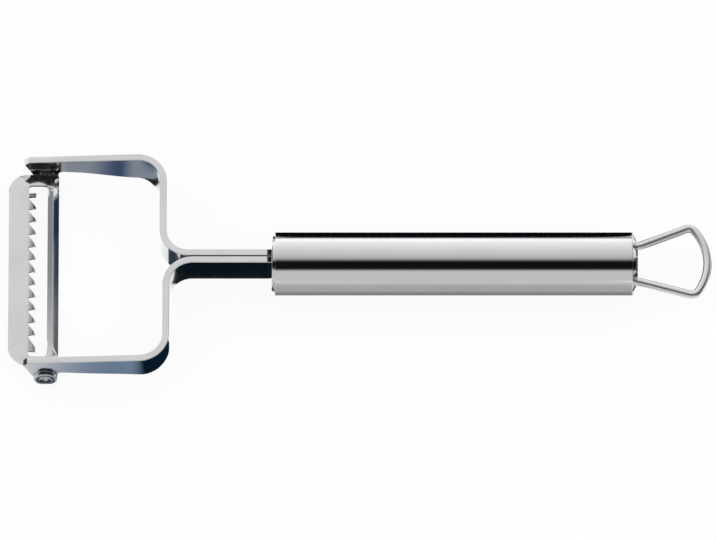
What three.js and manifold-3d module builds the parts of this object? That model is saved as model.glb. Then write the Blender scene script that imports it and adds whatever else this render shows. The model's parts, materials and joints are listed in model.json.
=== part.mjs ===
// Julienne peeler: a toothed blade that swivels between two bent strip arms, on a round tubular handle
// with a wire hanging loop. Millimetres, +Z up, +X from the blade towards the loop, Y across the head.

import * as THREE from 'three';
import { mergeVertices } from 'three/addons/utils/BufferGeometryUtils.js';
import Module from 'manifold-3d';

const wasm = await Module();
wasm.setup();

// Handle tube
const HANDLE_RADIUS = 9;
const HANDLE_LENGTH = 102;
const HANDLE_WALL = 1;

// End caps of the handle
const SPIGOT_LENGTH = 5;
const SPIGOT_CLEARANCE = 0.1;
const FRONT_CAP_REACH = 0.9;
const FRONT_CAP_EDGE_RADIUS = 0.3;
const FRONT_CAP_CROWN = 0.6;
const SLOT_CLEARANCE = 0.2;
const REAR_CAP_LENGTH = 1.6;
const REAR_CAP_FLAT_RADIUS = 5.4;

// Strips that make the shank, legs and arms
const STRIP_THICKNESS = 1.95;
const STRIP_HALF_WIDTH = 5.6;
const TANG_GAP = 0.3;
const TANG_LENGTH = 30;
const LEG_REACH = 31.7;
const HEAD_WIDTH = 65.2;
const BEND_RADIUS = 7.5;
const ARM_REACH = 33.8;
const LOWER_TAPER_START = 6;

// Outer end of an arm, round its pivot
const PIVOT_DROP = 5.8;
const EYE_RADIUS = 3.5;
const EYE_FILLET = 1.5;
const ARM_END_RISE = 2.6;
const ARM_END_DEPTH = 3.5;
const BEAK_REACH = 6.2;
const BEAK_CHAMFER = 1.1;
const BEAK_RISE = 1.1;

// Pivots
const PIN_RADIUS = 1.2;
const PIN_CLEARANCE = 0.08;
const PIN_INNER_END = 0.6;
const PIN_HEAD_RADIUS = 1.7;
const PIN_DIMPLE_RADIUS = 0.75;
const PIN_DIMPLE_DEPTH = 0.9;
const COLLAR_RADIUS = 3.35;
const COLLAR_THICKNESS = 1.1;
const COLLAR_BEVEL = 0.3;
const DISH_RADIUS = 2.45;
const DISH_DEPTH = 0.55;
const SPACER_RADIUS = 2.4;
const SPACER_THICKNESS = 0.45;
const SWIVEL_GAP = 0.3;

// Blade
const SHEET = 0.7;
const PLATE_RISE = 2.3;
const PLATE_AHEAD = 10.7;
const PLATE_BEHIND = 3.6;
const FRONT_CORNER_RADIUS = 5.4;
const BACK_CORNER_RADIUS = 1.2;
const TOOTHED_BAR_WIDTH = 5.75;
const END_BRIDGE = 3;
const GUIDE_BAR_WIDTH = 3.2;
const GUIDE_RIDGE_HEIGHT = 0.55;
const GUIDE_RIDGE_FROM_EDGE = 1.5;
const GUIDE_FLANGE_DROP = 1.9;
const EAR_RADIUS = 2.5;
const TOOTH_COUNT = 13;
const TOOTH_PITCH = 3.97;
const TOOTH_ROOT = 3.15;
const TOOTH_REACH = 2;
const TOOTH_DROP = 0.9;
const TEETH_SHIFT = 0.7;
const SHEET_JOIN = 0.4;

// Wire loop
const WIRE_RADIUS = 1.2;
const WIRE_CLEARANCE = 0.12;
const LOOP_ROOT_SPREAD = 5.6;
const LOOP_ROOT_DEPTH = 6;
const LOOP_SPLAY = THREE.MathUtils.degToRad(18.8);
const LOOP_SPLAY_RADIUS = 3;
const LOOP_CORNER_RADIUS = 2.2;
const LOOP_END_RADIUS = 16;
const LOOP_REACH = 20;

// Fineness of round faces
const HANDLE_SIDES = 48;
const PIN_SIDES = 24;
const WIRE_SIDES = 10;
const WIRE_STEPS = 84;
const ARC_POINTS = 8;

// Places along the handle, with x = 0 at the tube's front end and y = z = 0 on its axis
const legX = -LEG_REACH;
const pivotX = legX - ARM_REACH;
const beakX = pivotX - BEAK_REACH;
const bladeFrontX = pivotX - PLATE_AHEAD;
const bladeBackX = pivotX + PLATE_BEHIND;
const rearFaceX = HANDLE_LENGTH + REAR_CAP_LENGTH;
const loopEndX = rearFaceX + LOOP_REACH + WIRE_RADIUS;

// Places across the head, from the middle out
const tangY = (TANG_GAP + STRIP_THICKNESS) / 2;
const armOuterY = HEAD_WIDTH / 2;
const armY = armOuterY - STRIP_THICKNESS / 2;
const armInnerY = armOuterY - STRIP_THICKNESS;
const bladeHalfLength = armInnerY - SPACER_THICKNESS - SWIVEL_GAP;
const slotHalfLength = bladeHalfLength - END_BRIDGE;

// Heights from the handle's axis
const pivotZ = -PIVOT_DROP;
const plateTopZ = pivotZ + PLATE_RISE;
const restZ = Math.min(-HANDLE_RADIUS, pivotZ - EYE_RADIUS);

const QUARTER = Math.PI / 2;

// Geometry helpers

// Welds a closed shape's vertices, drops empty triangles and points its faces out.
function closed(source) {
  const bare = source.clone();
  bare.deleteAttribute('normal');
  bare.deleteAttribute('uv');
  const welded = mergeVertices(bare);
  const at = (i) => new THREE.Vector3().fromBufferAttribute(welded.attributes.position, i);
  const triangles = [];
  let volume = 0;
  for (let i = 0; i < welded.index.count; i += 3) {
    const [a, b, c] = [0, 1, 2].map((k) => welded.index.getX(i + k));
    if (a === b || b === c || c === a) continue;
    triangles.push([a, b, c]);
    volume += at(a).dot(at(b).cross(at(c)));
  }
  const order = volume > 0 ? [0, 1, 2] : [0, 2, 1];
  welded.setIndex(triangles.flatMap((triangle) => order.map((k) => triangle[k])));
  return welded;
}

function toSolid(geometry) {
  const shape = closed(geometry);
  const vertProperties = new Float32Array(shape.attributes.position.array);
  const triVerts = new Uint32Array(shape.index.array);
  return new wasm.Manifold(new wasm.Mesh({ numProp: 3, vertProperties, triVerts }));
}

function toGeometry(solid) {
  const mesh = solid.getMesh();
  const geometry = new THREE.BufferGeometry();
  geometry.setAttribute('position', new THREE.BufferAttribute(new Float32Array(mesh.vertProperties), 3));
  geometry.setIndex(new THREE.BufferAttribute(new Uint32Array(mesh.triVerts), 1));
  return geometry;
}

// Turns a shape made round Y so that its axis lies along X.
function alongX(geometry) {
  return geometry.applyMatrix4(new THREE.Matrix4().set(0, 1, 0, 0, 0, 0, 1, 0, 1, 0, 0, 0, 0, 0, 0, 1));
}

// Stands a side view (x, z) up and gives it a width along Y, from startY on.
function sideExtrusion(shape, startY, width) {
  const geometry = new THREE.ExtrudeGeometry(shape, {
    depth: width, bevelEnabled: false, curveSegments: ARC_POINTS,
  });
  geometry.applyMatrix4(new THREE.Matrix4().set(1, 0, 0, 0, 0, 0, -1, 0, 0, 1, 0, 0, 0, 0, 0, 1));
  return geometry.translate(0, startY + width, 0);
}

// Gives a plan view (x, y) a height along Z, from startZ on.
function planExtrusion(shape, startZ, height) {
  const geometry = new THREE.ExtrudeGeometry(shape, {
    depth: height, bevelEnabled: false, curveSegments: ARC_POINTS,
  });
  return geometry.translate(0, 0, startZ);
}

function box(minimum, maximum) {
  const size = maximum.map((high, k) => high - minimum[k]);
  const middle = maximum.map((high, k) => (high + minimum[k]) / 2);
  return new THREE.BoxGeometry(...size).translate(...middle);
}

function outline(points) {
  return points.map(([radius, along]) => new THREE.Vector2(radius, along));
}

// A ring or plug round Y, from [radius, height] points measured out from the handle's axis.
function turnedAlongY(points, side, sides) {
  const profile = outline(points.map(([radius, along]) => [radius, side * along]));
  return new THREE.LatheGeometry(profile, sides).translate(pivotX, 0, pivotZ);
}

// Handle

function handleTube() {
  const innerRadius = HANDLE_RADIUS - HANDLE_WALL;
  const profile = outline([
    [HANDLE_RADIUS, 0], [HANDLE_RADIUS, HANDLE_LENGTH],
    [innerRadius, HANDLE_LENGTH], [innerRadius, 0], [HANDLE_RADIUS, 0],
  ]);
  return closed(alongX(new THREE.LatheGeometry(profile, HANDLE_SIDES)));
}

const spigotRadius = HANDLE_RADIUS - HANDLE_WALL - SPIGOT_CLEARANCE;

// A plug that stands out of the tube, with a rounded edge and a low dome.
function frontCap() {
  const edge = FRONT_CAP_EDGE_RADIUS;
  const edgeX = edge - FRONT_CAP_REACH;
  const crownRadius = spigotRadius - edge;
  const profile = [[0, SPIGOT_LENGTH], [spigotRadius, SPIGOT_LENGTH]];
  for (let step = 0; step <= ARC_POINTS; step += 1) {
    const angle = (step / ARC_POINTS) * QUARTER;
    profile.push([crownRadius + edge * Math.cos(angle), edgeX - edge * Math.sin(angle)]);
  }
  for (let step = 1; step <= ARC_POINTS; step += 1) {
    const share = 1 - step / ARC_POINTS;
    profile.push([crownRadius * share, -FRONT_CAP_REACH - FRONT_CAP_CROWN * (1 - share * share)]);
  }
  const cap = toSolid(alongX(new THREE.LatheGeometry(outline(profile), HANDLE_SIDES)));
  const slotHalfY = tangY + STRIP_THICKNESS / 2 + SLOT_CLEARANCE;
  const slotHalfZ = STRIP_HALF_WIDTH + SLOT_CLEARANCE;
  const slot = toSolid(box([-HANDLE_RADIUS, -slotHalfY, -slotHalfZ], [HANDLE_RADIUS, slotHalfY, slotHalfZ]));
  return toGeometry(cap.subtract(slot));
}

function rearCap() {
  const profile = outline([
    [0, HANDLE_LENGTH - SPIGOT_LENGTH], [spigotRadius, HANDLE_LENGTH - SPIGOT_LENGTH],
    [spigotRadius, HANDLE_LENGTH], [HANDLE_RADIUS, HANDLE_LENGTH],
    [REAR_CAP_FLAT_RADIUS, rearFaceX], [0, rearFaceX],
  ]);
  let cap = toSolid(alongX(new THREE.LatheGeometry(profile, HANDLE_SIDES)));
  const holeRadius = WIRE_RADIUS + WIRE_CLEARANCE;
  const holeLength = 4 * (SPIGOT_LENGTH + REAR_CAP_LENGTH);
  for (const side of [1, -1]) {
    const hole = alongX(new THREE.CylinderGeometry(holeRadius, holeRadius, holeLength, PIN_SIDES));
    cap = cap.subtract(toSolid(hole.translate(HANDLE_LENGTH, side * LOOP_ROOT_SPREAD, 0)));
  }
  return toGeometry(cap);
}

// Arms

// Plan view of one strip: tang, leg and arm, with a bend at each end of the leg.
function stripPlan(side) {
  const half = STRIP_THICKNESS / 2;
  const shankBend = [legX + BEND_RADIUS, tangY + BEND_RADIUS];
  const cornerBend = [legX - BEND_RADIUS, armY - BEND_RADIUS];
  const plan = new THREE.Shape();
  plan.moveTo(TANG_LENGTH, tangY - half);
  plan.lineTo(shankBend[0], tangY - half);
  plan.absarc(...shankBend, BEND_RADIUS + half, 3 * QUARTER, 2 * QUARTER, true);
  plan.lineTo(legX - half, cornerBend[1]);
  plan.absarc(...cornerBend, BEND_RADIUS - half, 0, QUARTER, false);
  plan.lineTo(beakX - BEAK_REACH, armInnerY);
  plan.lineTo(beakX - BEAK_REACH, armOuterY);
  plan.lineTo(cornerBend[0], armOuterY);
  plan.absarc(...cornerBend, BEND_RADIUS + half, QUARTER, 0, true);
  plan.lineTo(legX + half, shankBend[1]);
  plan.absarc(...shankBend, BEND_RADIUS - half, 2 * QUARTER, 3 * QUARTER, false);
  plan.lineTo(TANG_LENGTH, tangY + half);
  const points = plan.getPoints(ARC_POINTS).map((point) => new THREE.Vector2(point.x, side * point.y));
  return new THREE.Shape(points);
}

// Side view of one strip: full width on the shank, tapering along the arm to the beak and the eye.
function stripSide() {
  const filletZ = -ARM_END_DEPTH - EYE_FILLET;
  const filletX = pivotX + Math.sqrt((EYE_RADIUS + EYE_FILLET) ** 2 - (filletZ - pivotZ) ** 2);
  const toFillet = Math.atan2(filletZ - pivotZ, filletX - pivotX);
  const beakToEye = Math.hypot(pivotX - beakX, pivotZ - BEAK_RISE);
  const slant = Math.atan2(pivotZ - BEAK_RISE, pivotX - beakX) - Math.asin(EYE_RADIUS / beakToEye);
  const view = new THREE.Shape();
  view.moveTo(TANG_LENGTH, STRIP_HALF_WIDTH);
  view.lineTo(legX + BEND_RADIUS, STRIP_HALF_WIDTH);
  view.lineTo(beakX + BEAK_CHAMFER, ARM_END_RISE);
  view.lineTo(beakX, BEAK_RISE);
  view.absarc(pivotX, pivotZ, EYE_RADIUS, slant - QUARTER, toFillet, false);
  view.absarc(filletX, filletZ, EYE_FILLET, toFillet + 2 * QUARTER, QUARTER, true);
  view.lineTo(legX - LOWER_TAPER_START, -STRIP_HALF_WIDTH);
  view.lineTo(TANG_LENGTH, -STRIP_HALF_WIDTH);
  return view;
}

function arm(side) {
  const height = 2 * (HANDLE_RADIUS + PIVOT_DROP);
  const blank = toSolid(planExtrusion(stripPlan(side), -height / 2, height));
  const cutter = toSolid(sideExtrusion(stripSide(), -HEAD_WIDTH, 2 * HEAD_WIDTH));
  const boreRadius = PIN_RADIUS + PIN_CLEARANCE;
  const bore = new THREE.CylinderGeometry(boreRadius, boreRadius, 2 * HEAD_WIDTH, PIN_SIDES);
  return toGeometry(blank.intersect(cutter).subtract(toSolid(bore.translate(pivotX, 0, pivotZ))));
}

// Pivots

// A dished ring on the arm's outer face.
function collar(side) {
  const bore = PIN_RADIUS + PIN_CLEARANCE;
  const outerY = armOuterY + COLLAR_THICKNESS;
  const points = [
    [bore, armOuterY], [COLLAR_RADIUS, armOuterY], [COLLAR_RADIUS, outerY - COLLAR_BEVEL],
    [COLLAR_RADIUS - COLLAR_BEVEL, outerY], [DISH_RADIUS + COLLAR_BEVEL, outerY],
    [DISH_RADIUS, outerY - DISH_DEPTH], [bore, outerY - DISH_DEPTH], [bore, armOuterY],
  ];
  return closed(turnedAlongY(points, side, PIN_SIDES));
}

// A headed pin through collar, arm, spacer and ear, with a dimple in its head.
function pivotPin(side) {
  const headY = armOuterY + COLLAR_THICKNESS - DISH_DEPTH;
  const outerY = armOuterY + COLLAR_THICKNESS;
  const points = [
    [0, bladeHalfLength - SHEET - PIN_INNER_END], [PIN_RADIUS, bladeHalfLength - SHEET - PIN_INNER_END],
    [PIN_RADIUS, headY], [PIN_HEAD_RADIUS, headY], [PIN_HEAD_RADIUS, outerY],
    [PIN_DIMPLE_RADIUS, outerY], [0, outerY - PIN_DIMPLE_DEPTH],
  ];
  return closed(turnedAlongY(points, side, PIN_SIDES));
}

// A thin ring between the arm and the blade's ear.
function spacer(side) {
  const bore = PIN_RADIUS + PIN_CLEARANCE;
  const innerY = armInnerY - SPACER_THICKNESS;
  const points = [
    [bore, innerY], [SPACER_RADIUS, innerY], [SPACER_RADIUS, armInnerY], [bore, armInnerY], [bore, innerY],
  ];
  return closed(turnedAlongY(points, side, PIN_SIDES));
}

// Blade

function platePlan() {
  const front = FRONT_CORNER_RADIUS;
  const back = BACK_CORNER_RADIUS;
  const end = bladeHalfLength;
  const plan = new THREE.Shape();
  plan.absarc(bladeFrontX + front, front - end, front, 2 * QUARTER, 3 * QUARTER, false);
  plan.absarc(bladeBackX - back, back - end, back, 3 * QUARTER, 4 * QUARTER, false);
  plan.absarc(bladeBackX - back, end - back, back, 0, QUARTER, false);
  plan.absarc(bladeFrontX + front, end - front, front, QUARTER, 2 * QUARTER, false);
  return plan;
}

// The bar behind the slot, folded along its length: a low rise from the slot, then a flange turned down.
function guideBar() {
  const frontX = bladeBackX - GUIDE_BAR_WIDTH;
  const ridgeX = bladeBackX - GUIDE_RIDGE_FROM_EDGE;
  const ridgeZ = plateTopZ + GUIDE_RIDGE_HEIGHT;
  const flangeZ = plateTopZ - GUIDE_FLANGE_DROP;
  const section = new THREE.Shape();
  section.moveTo(frontX, plateTopZ);
  section.lineTo(frontX, plateTopZ - SHEET);
  section.lineTo(ridgeX - SHEET / 2, ridgeZ - SHEET);
  section.lineTo(bladeBackX - SHEET, flangeZ);
  section.lineTo(bladeBackX, flangeZ);
  section.lineTo(ridgeX, ridgeZ);
  const reach = slotHalfLength + SHEET_JOIN;
  return sideExtrusion(section, -reach, 2 * reach);
}

// A tab bent down at the blade's end, round the pivot pin.
function ear(startY) {
  const view = new THREE.Shape();
  view.moveTo(pivotX - EAR_RADIUS, plateTopZ);
  view.absarc(pivotX, pivotZ, EAR_RADIUS, 2 * QUARTER, 4 * QUARTER, false);
  view.lineTo(pivotX + EAR_RADIUS, plateTopZ);
  return sideExtrusion(view, startY, SHEET);
}

// A pointed tooth on the toothed bar's edge: straight on one side, slanted on the other, bent down.
function tooth(y) {
  const rootX = bladeFrontX + TOOTHED_BAR_WIDTH;
  const half = TOOTH_ROOT / 2;
  const join = SHEET_JOIN;
  const plan = new THREE.Shape(outline([
    [0, half], [-join, half - join], [-join, join - half], [0, -half], [TOOTH_REACH, -half],
  ]));
  const geometry = planExtrusion(plan, plateTopZ - SHEET, SHEET);
  const position = geometry.attributes.position;
  for (let i = 0; i < position.count; i += 1) {
    const bend = Math.max(0, position.getX(i)) / TOOTH_REACH;
    position.setZ(i, position.getZ(i) - TOOTH_DROP * bend);
  }
  return geometry.translate(rootX, y, 0);
}

function julienneBlade() {
  const slotStart = [bladeFrontX + TOOTHED_BAR_WIDTH, -slotHalfLength, plateTopZ - 2 * SHEET];
  const slotEnd = [bladeBackX + SHEET, slotHalfLength, plateTopZ + SHEET];
  let blade = toSolid(planExtrusion(platePlan(), plateTopZ - SHEET, SHEET));
  blade = blade.subtract(toSolid(box(slotStart, slotEnd))).add(toSolid(guideBar()));
  blade = blade.add(toSolid(ear(bladeHalfLength - SHEET))).add(toSolid(ear(-bladeHalfLength)));
  const firstTooth = TEETH_SHIFT + ((TOOTH_COUNT - 1) * TOOTH_PITCH) / 2;
  for (let i = 0; i < TOOTH_COUNT; i += 1) {
    blade = blade.add(toSolid(tooth(firstTooth - i * TOOTH_PITCH)));
  }
  const boreRadius = PIN_RADIUS + PIN_CLEARANCE;
  const bore = new THREE.CylinderGeometry(boreRadius, boreRadius, 2 * HEAD_WIDTH, PIN_SIDES);
  return toGeometry(blade.subtract(toSolid(bore.translate(pivotX, 0, pivotZ))));
}

// Wire loop

// A plan route at the height of the handle's axis.
class FlatRoute extends THREE.Curve {
  constructor(path) {
    super();
    this.path = path;
  }

  getPoint(t, target = new THREE.Vector3()) {
    const point = this.path.getPoint(t);
    return target.set(point.x, point.y, 0);
  }
}

// The wire's middle line: in through one hole, out along a splayed leg, round the end and back.
function loopRoute() {
  const splayCentre = [rearFaceX, LOOP_ROOT_SPREAD + LOOP_SPLAY_RADIUS];
  const legStart = [
    splayCentre[0] + LOOP_SPLAY_RADIUS * Math.sin(LOOP_SPLAY),
    splayCentre[1] - LOOP_SPLAY_RADIUS * Math.cos(LOOP_SPLAY),
  ];
  // The corner's centre lies one corner radius inside the leg's line and inside the end arc.
  const endX = rearFaceX + LOOP_REACH - LOOP_END_RADIUS;
  const startX = legStart[0] + LOOP_CORNER_RADIUS * Math.sin(LOOP_SPLAY) - endX;
  const startY = legStart[1] - LOOP_CORNER_RADIUS * Math.cos(LOOP_SPLAY);
  const along = startX * Math.cos(LOOP_SPLAY) + startY * Math.sin(LOOP_SPLAY);
  const span = LOOP_END_RADIUS - LOOP_CORNER_RADIUS;
  const legLength = Math.sqrt(along ** 2 - startX ** 2 - startY ** 2 + span ** 2) - along;
  const cornerX = endX + startX + legLength * Math.cos(LOOP_SPLAY);
  const cornerY = startY + legLength * Math.sin(LOOP_SPLAY);
  const endAngle = Math.atan2(cornerY, cornerX - endX);

  const path = new THREE.Path();
  path.moveTo(rearFaceX - LOOP_ROOT_DEPTH, LOOP_ROOT_SPREAD);
  path.lineTo(rearFaceX, LOOP_ROOT_SPREAD);
  path.absarc(...splayCentre, LOOP_SPLAY_RADIUS, -QUARTER, LOOP_SPLAY - QUARTER, false);
  path.absarc(cornerX, cornerY, LOOP_CORNER_RADIUS, LOOP_SPLAY + QUARTER, endAngle, true);
  path.absarc(endX, 0, LOOP_END_RADIUS, endAngle, -endAngle, true);
  path.absarc(cornerX, -cornerY, LOOP_CORNER_RADIUS, -endAngle, -LOOP_SPLAY - QUARTER, true);
  path.absarc(splayCentre[0], -splayCentre[1], LOOP_SPLAY_RADIUS, QUARTER - LOOP_SPLAY, QUARTER, false);
  path.lineTo(rearFaceX - LOOP_ROOT_DEPTH, -LOOP_ROOT_SPREAD);
  return new FlatRoute(path);
}

function hangingLoop() {
  const section = new THREE.Shape();
  section.absarc(0, 0, WIRE_RADIUS, 0, 4 * QUARTER, false);
  const ring = new THREE.Shape(section.getPoints(WIRE_SIDES / 2).slice(0, WIRE_SIDES));
  return closed(new THREE.ExtrudeGeometry(ring, {
    steps: WIRE_STEPS, bevelEnabled: false, extrudePath: loopRoute(),
  }));
}

// Assembly

function steel(color, roughness) {
  return new THREE.MeshStandardMaterial({ color, metalness: 1, roughness });
}

const polishedSteel = () => steel(0xd6d8da, 0.08);
const stripSteel = () => steel(0xcfd3d6, 0.15);
const bladeSteel = () => steel(0xc9cccd, 0.22);
const pivotSteel = () => steel(0xbfc2c4, 0.25);

const peeler = new THREE.Group();

function place(name, geometry, material) {
  const mesh = new THREE.Mesh(geometry, material);
  mesh.name = name;
  peeler.add(mesh);
}

place('handle_tube', handleTube(), polishedSteel());
place('front_cap', frontCap(), polishedSteel());
place('rear_cap', rearCap(), polishedSteel());
place('hanging_loop', hangingLoop(), stripSteel());
place('julienne_blade', julienneBlade(), bladeSteel());
for (const [word, side] of [['far', 1], ['near', -1]]) {
  place(`${word}_arm`, arm(side), stripSteel());
  place(`${word}_collar`, collar(side), pivotSteel());
  place(`${word}_pivot_pin`, pivotPin(side), pivotSteel());
  place(`${word}_spacer`, spacer(side), pivotSteel());
}

// The tool lies on its handle and eyes, with the middle of its length over the origin.
peeler.position.set(-(bladeFrontX + loopEndX) / 2, 0, -restZ);

export default peeler;
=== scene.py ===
"""Dresses a packed julienne peeler: fine polished meshes round its CAD frame, and a studio to see them in.

The sidebar panel of the 3D view lists one operator for each group of pieces and one for the stage.
Sizes are metres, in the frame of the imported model: +X from the blade to the hanging loop, +Z up.
"""

import json
import math

import bmesh
import bpy
from mathutils import Matrix, Vector


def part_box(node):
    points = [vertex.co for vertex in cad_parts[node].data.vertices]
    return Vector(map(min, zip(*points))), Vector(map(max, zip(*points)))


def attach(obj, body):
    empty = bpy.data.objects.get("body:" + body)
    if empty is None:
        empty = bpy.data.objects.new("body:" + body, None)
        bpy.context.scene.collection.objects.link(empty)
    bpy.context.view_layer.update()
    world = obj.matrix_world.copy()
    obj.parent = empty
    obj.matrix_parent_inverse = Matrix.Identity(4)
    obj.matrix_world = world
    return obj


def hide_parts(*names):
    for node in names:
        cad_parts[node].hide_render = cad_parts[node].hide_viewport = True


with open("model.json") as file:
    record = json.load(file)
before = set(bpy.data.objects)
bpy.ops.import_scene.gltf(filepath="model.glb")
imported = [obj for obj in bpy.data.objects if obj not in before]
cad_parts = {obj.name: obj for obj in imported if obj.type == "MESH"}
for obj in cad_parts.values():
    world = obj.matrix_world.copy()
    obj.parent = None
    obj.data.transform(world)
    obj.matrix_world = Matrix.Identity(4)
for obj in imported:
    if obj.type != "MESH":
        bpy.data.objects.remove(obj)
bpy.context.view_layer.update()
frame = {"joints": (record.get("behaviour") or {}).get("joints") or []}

bl_info = {
    "name": "Julienne Peeler",
    "version": (1, 0, 0),
    "blender": (4, 5, 0),
    "location": "3D View > Sidebar > Peeler",
    "description": "Builds a polished steel julienne peeler round its CAD frame, with a studio stage",
    "category": "Object",
}

MM = 0.001
QUARTER = math.pi / 2

# Places that the frame gives
tube_low, tube_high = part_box("handle_tube")
rear_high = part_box("rear_cap")[1]
cap_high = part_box("front_cap")[1]
near_arm_low, near_arm_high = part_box("near_arm")
blade_low, blade_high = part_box("julienne_blade")
loop_low, loop_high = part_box("hanging_loop")
collar_low, collar_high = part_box("near_collar")
spacer_low, spacer_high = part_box("near_spacer")
pin_low, pin_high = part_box("near_pivot_pin")

FRONT_X = tube_low.x
REAR_X = tube_high.x
AXIS_Z = (tube_low.z + tube_high.z) / 2
PIVOT = Vector(frame["joints"][0]["pos_m"])
ARM_OUTER_Y = -near_arm_low.y
BEAK_X = near_arm_low.x
SHANK_HALF_WIDTH = near_arm_high.z - AXIS_Z
TANG_END_X = near_arm_high.x
BLADE_HALF_LENGTH = blade_high.y


# Settings that a user would change

def number(name, description, default, **more):
    return bpy.props.FloatProperty(name=name, description=description, default=default, **more)


def length(name, description, default):
    return number(name, description, default, min=0.0, unit="LENGTH", precision=5)


def mm(name, description, default):
    """A length given in millimetres."""
    return length(name, description, default * MM)


def angle(name, description, degrees):
    return number(name, description, math.radians(degrees), subtype="ANGLE")


def share(name, description, default):
    return number(name, description, default, min=0.0, max=1.0, subtype="FACTOR")


def colour(name, description, default):
    return bpy.props.FloatVectorProperty(
        name=name, description=description, default=default, min=0.0, max=1.0, size=3, subtype="COLOR"
    )


class PeelerHandleSettings(bpy.types.PropertyGroup):
    """Sizes of the handle tube and its two end caps."""
    radius: length("Radius", "Outer radius of the tube", (tube_high.y - tube_low.y) / 2)
    wall: mm("Wall", "Thickness of the tube's wall", 1.0)
    rim: mm("Rim", "Rounding of the tube's two rims", 0.12)
    spigot: length("Spigot", "Length of each cap inside the tube", cap_high.x - FRONT_X)
    spigot_clearance: mm("Spigot clearance", "Gap between a spigot and the tube", 0.1)
    front_reach: mm("Front reach", "How far the front cap's rim stands out of the tube", 0.9)
    front_edge: mm("Front edge", "Rounding of the front cap's rim", 0.3)
    front_crown: mm("Front crown", "Rise of the front cap's dome", 0.6)
    slot_clearance: mm("Slot clearance", "Gap between the strips and the front cap's slot", 0.2)
    rear_shoulder: mm("Rear shoulder", "Radius where the rear cap's cone gets steeper", 6.85)
    rear_shoulder_reach: mm("Rear shoulder reach", "From the tube's end to that shoulder", 1.06)
    rear_flat: mm("Rear flat", "Radius of the flat on the coned rear cap", 5.4)
    rear_edge: mm("Rear edge", "Rounding where the cone meets the flat and the tube", 0.35)
    hole_clearance: mm("Hole clearance", "Gap between the wire and its holes", 0.12)


class PeelerArmSettings(bpy.types.PropertyGroup):
    """Sizes of the two bent strips."""
    thickness: mm("Thickness", "Thickness of the strip", 1.95)
    tang_gap: mm("Tang gap", "Gap between the two tangs", 0.3)
    far_leg: mm("Far leg", "From the handle's front end to the middle of the far leg", 32.0)
    near_leg: mm("Near leg", "From the handle's front end to the middle of the near leg", 31.15)
    bend: mm("Bend", "Radius of the bends, at the middle of the strip", 7.5)
    end_rise: mm("End rise", "Upper edge above the handle's axis at the beak", 2.6)
    end_depth: mm("End depth", "Lower edge below the handle's axis at the eye", 3.5)
    taper_start: mm("Taper start", "From the legs to where the lower edge starts to rise", 6.0)
    eye_radius: mm("Eye radius", "Radius of the round end that holds the pivot", 3.5)
    eye_fillet: mm("Eye fillet", "Rounding between the eye and the lower edge", 1.5)
    beak_chamfer: mm("Beak chamfer", "Length of the slant on the beak's top", 1.1)
    beak_rise: mm("Beak rise", "Tip of the beak above the handle's axis", 1.1)
    edge: mm("Edge", "Rounding of the strip's edges", 0.16)
    far_toe: mm("Far toe", "How far the far strip's lower edge leans in at its outer bend", 0.9)
    near_toe: mm("Near toe", "How far the near strip's lower edge leans in at its outer bend", 0.3)
    toe_run: mm("Toe run", "Length over which that lean fades towards the eye", 18.0)


class PeelerPivotSettings(bpy.types.PropertyGroup):
    """Sizes of the collars, pins and spacers."""
    collar_radius: length("Collar radius", "Outer radius of a collar", (collar_high.x - collar_low.x) / 2)
    collar_edge: mm("Collar edge", "Rounding of a collar's rim", 0.15)
    dish_radius: mm("Dish radius", "Radius of the hollow in a collar", 2.45)
    dish_depth: mm("Dish depth", "Depth of the hollow in a collar", 0.55)
    pin_radius: mm("Pin radius", "Radius of a pin's shank", 1.2)
    pin_head: length("Pin head", "Radius of a pin's head", (pin_high.x - pin_low.x) / 2)
    pin_clearance: mm("Pin clearance", "Gap round a pin's shank", 0.08)
    dimple_radius: mm("Dimple radius", "Radius of the dimple in a pin's head", 0.75)
    dimple_depth: mm("Dimple depth", "Depth of the dimple in a pin's head", 0.9)
    spacer_radius: length("Spacer radius", "Outer radius of a spacer", (spacer_high.x - spacer_low.x) / 2)
    edge: mm("Edge", "Rounding of the small edges", 0.12)


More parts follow.
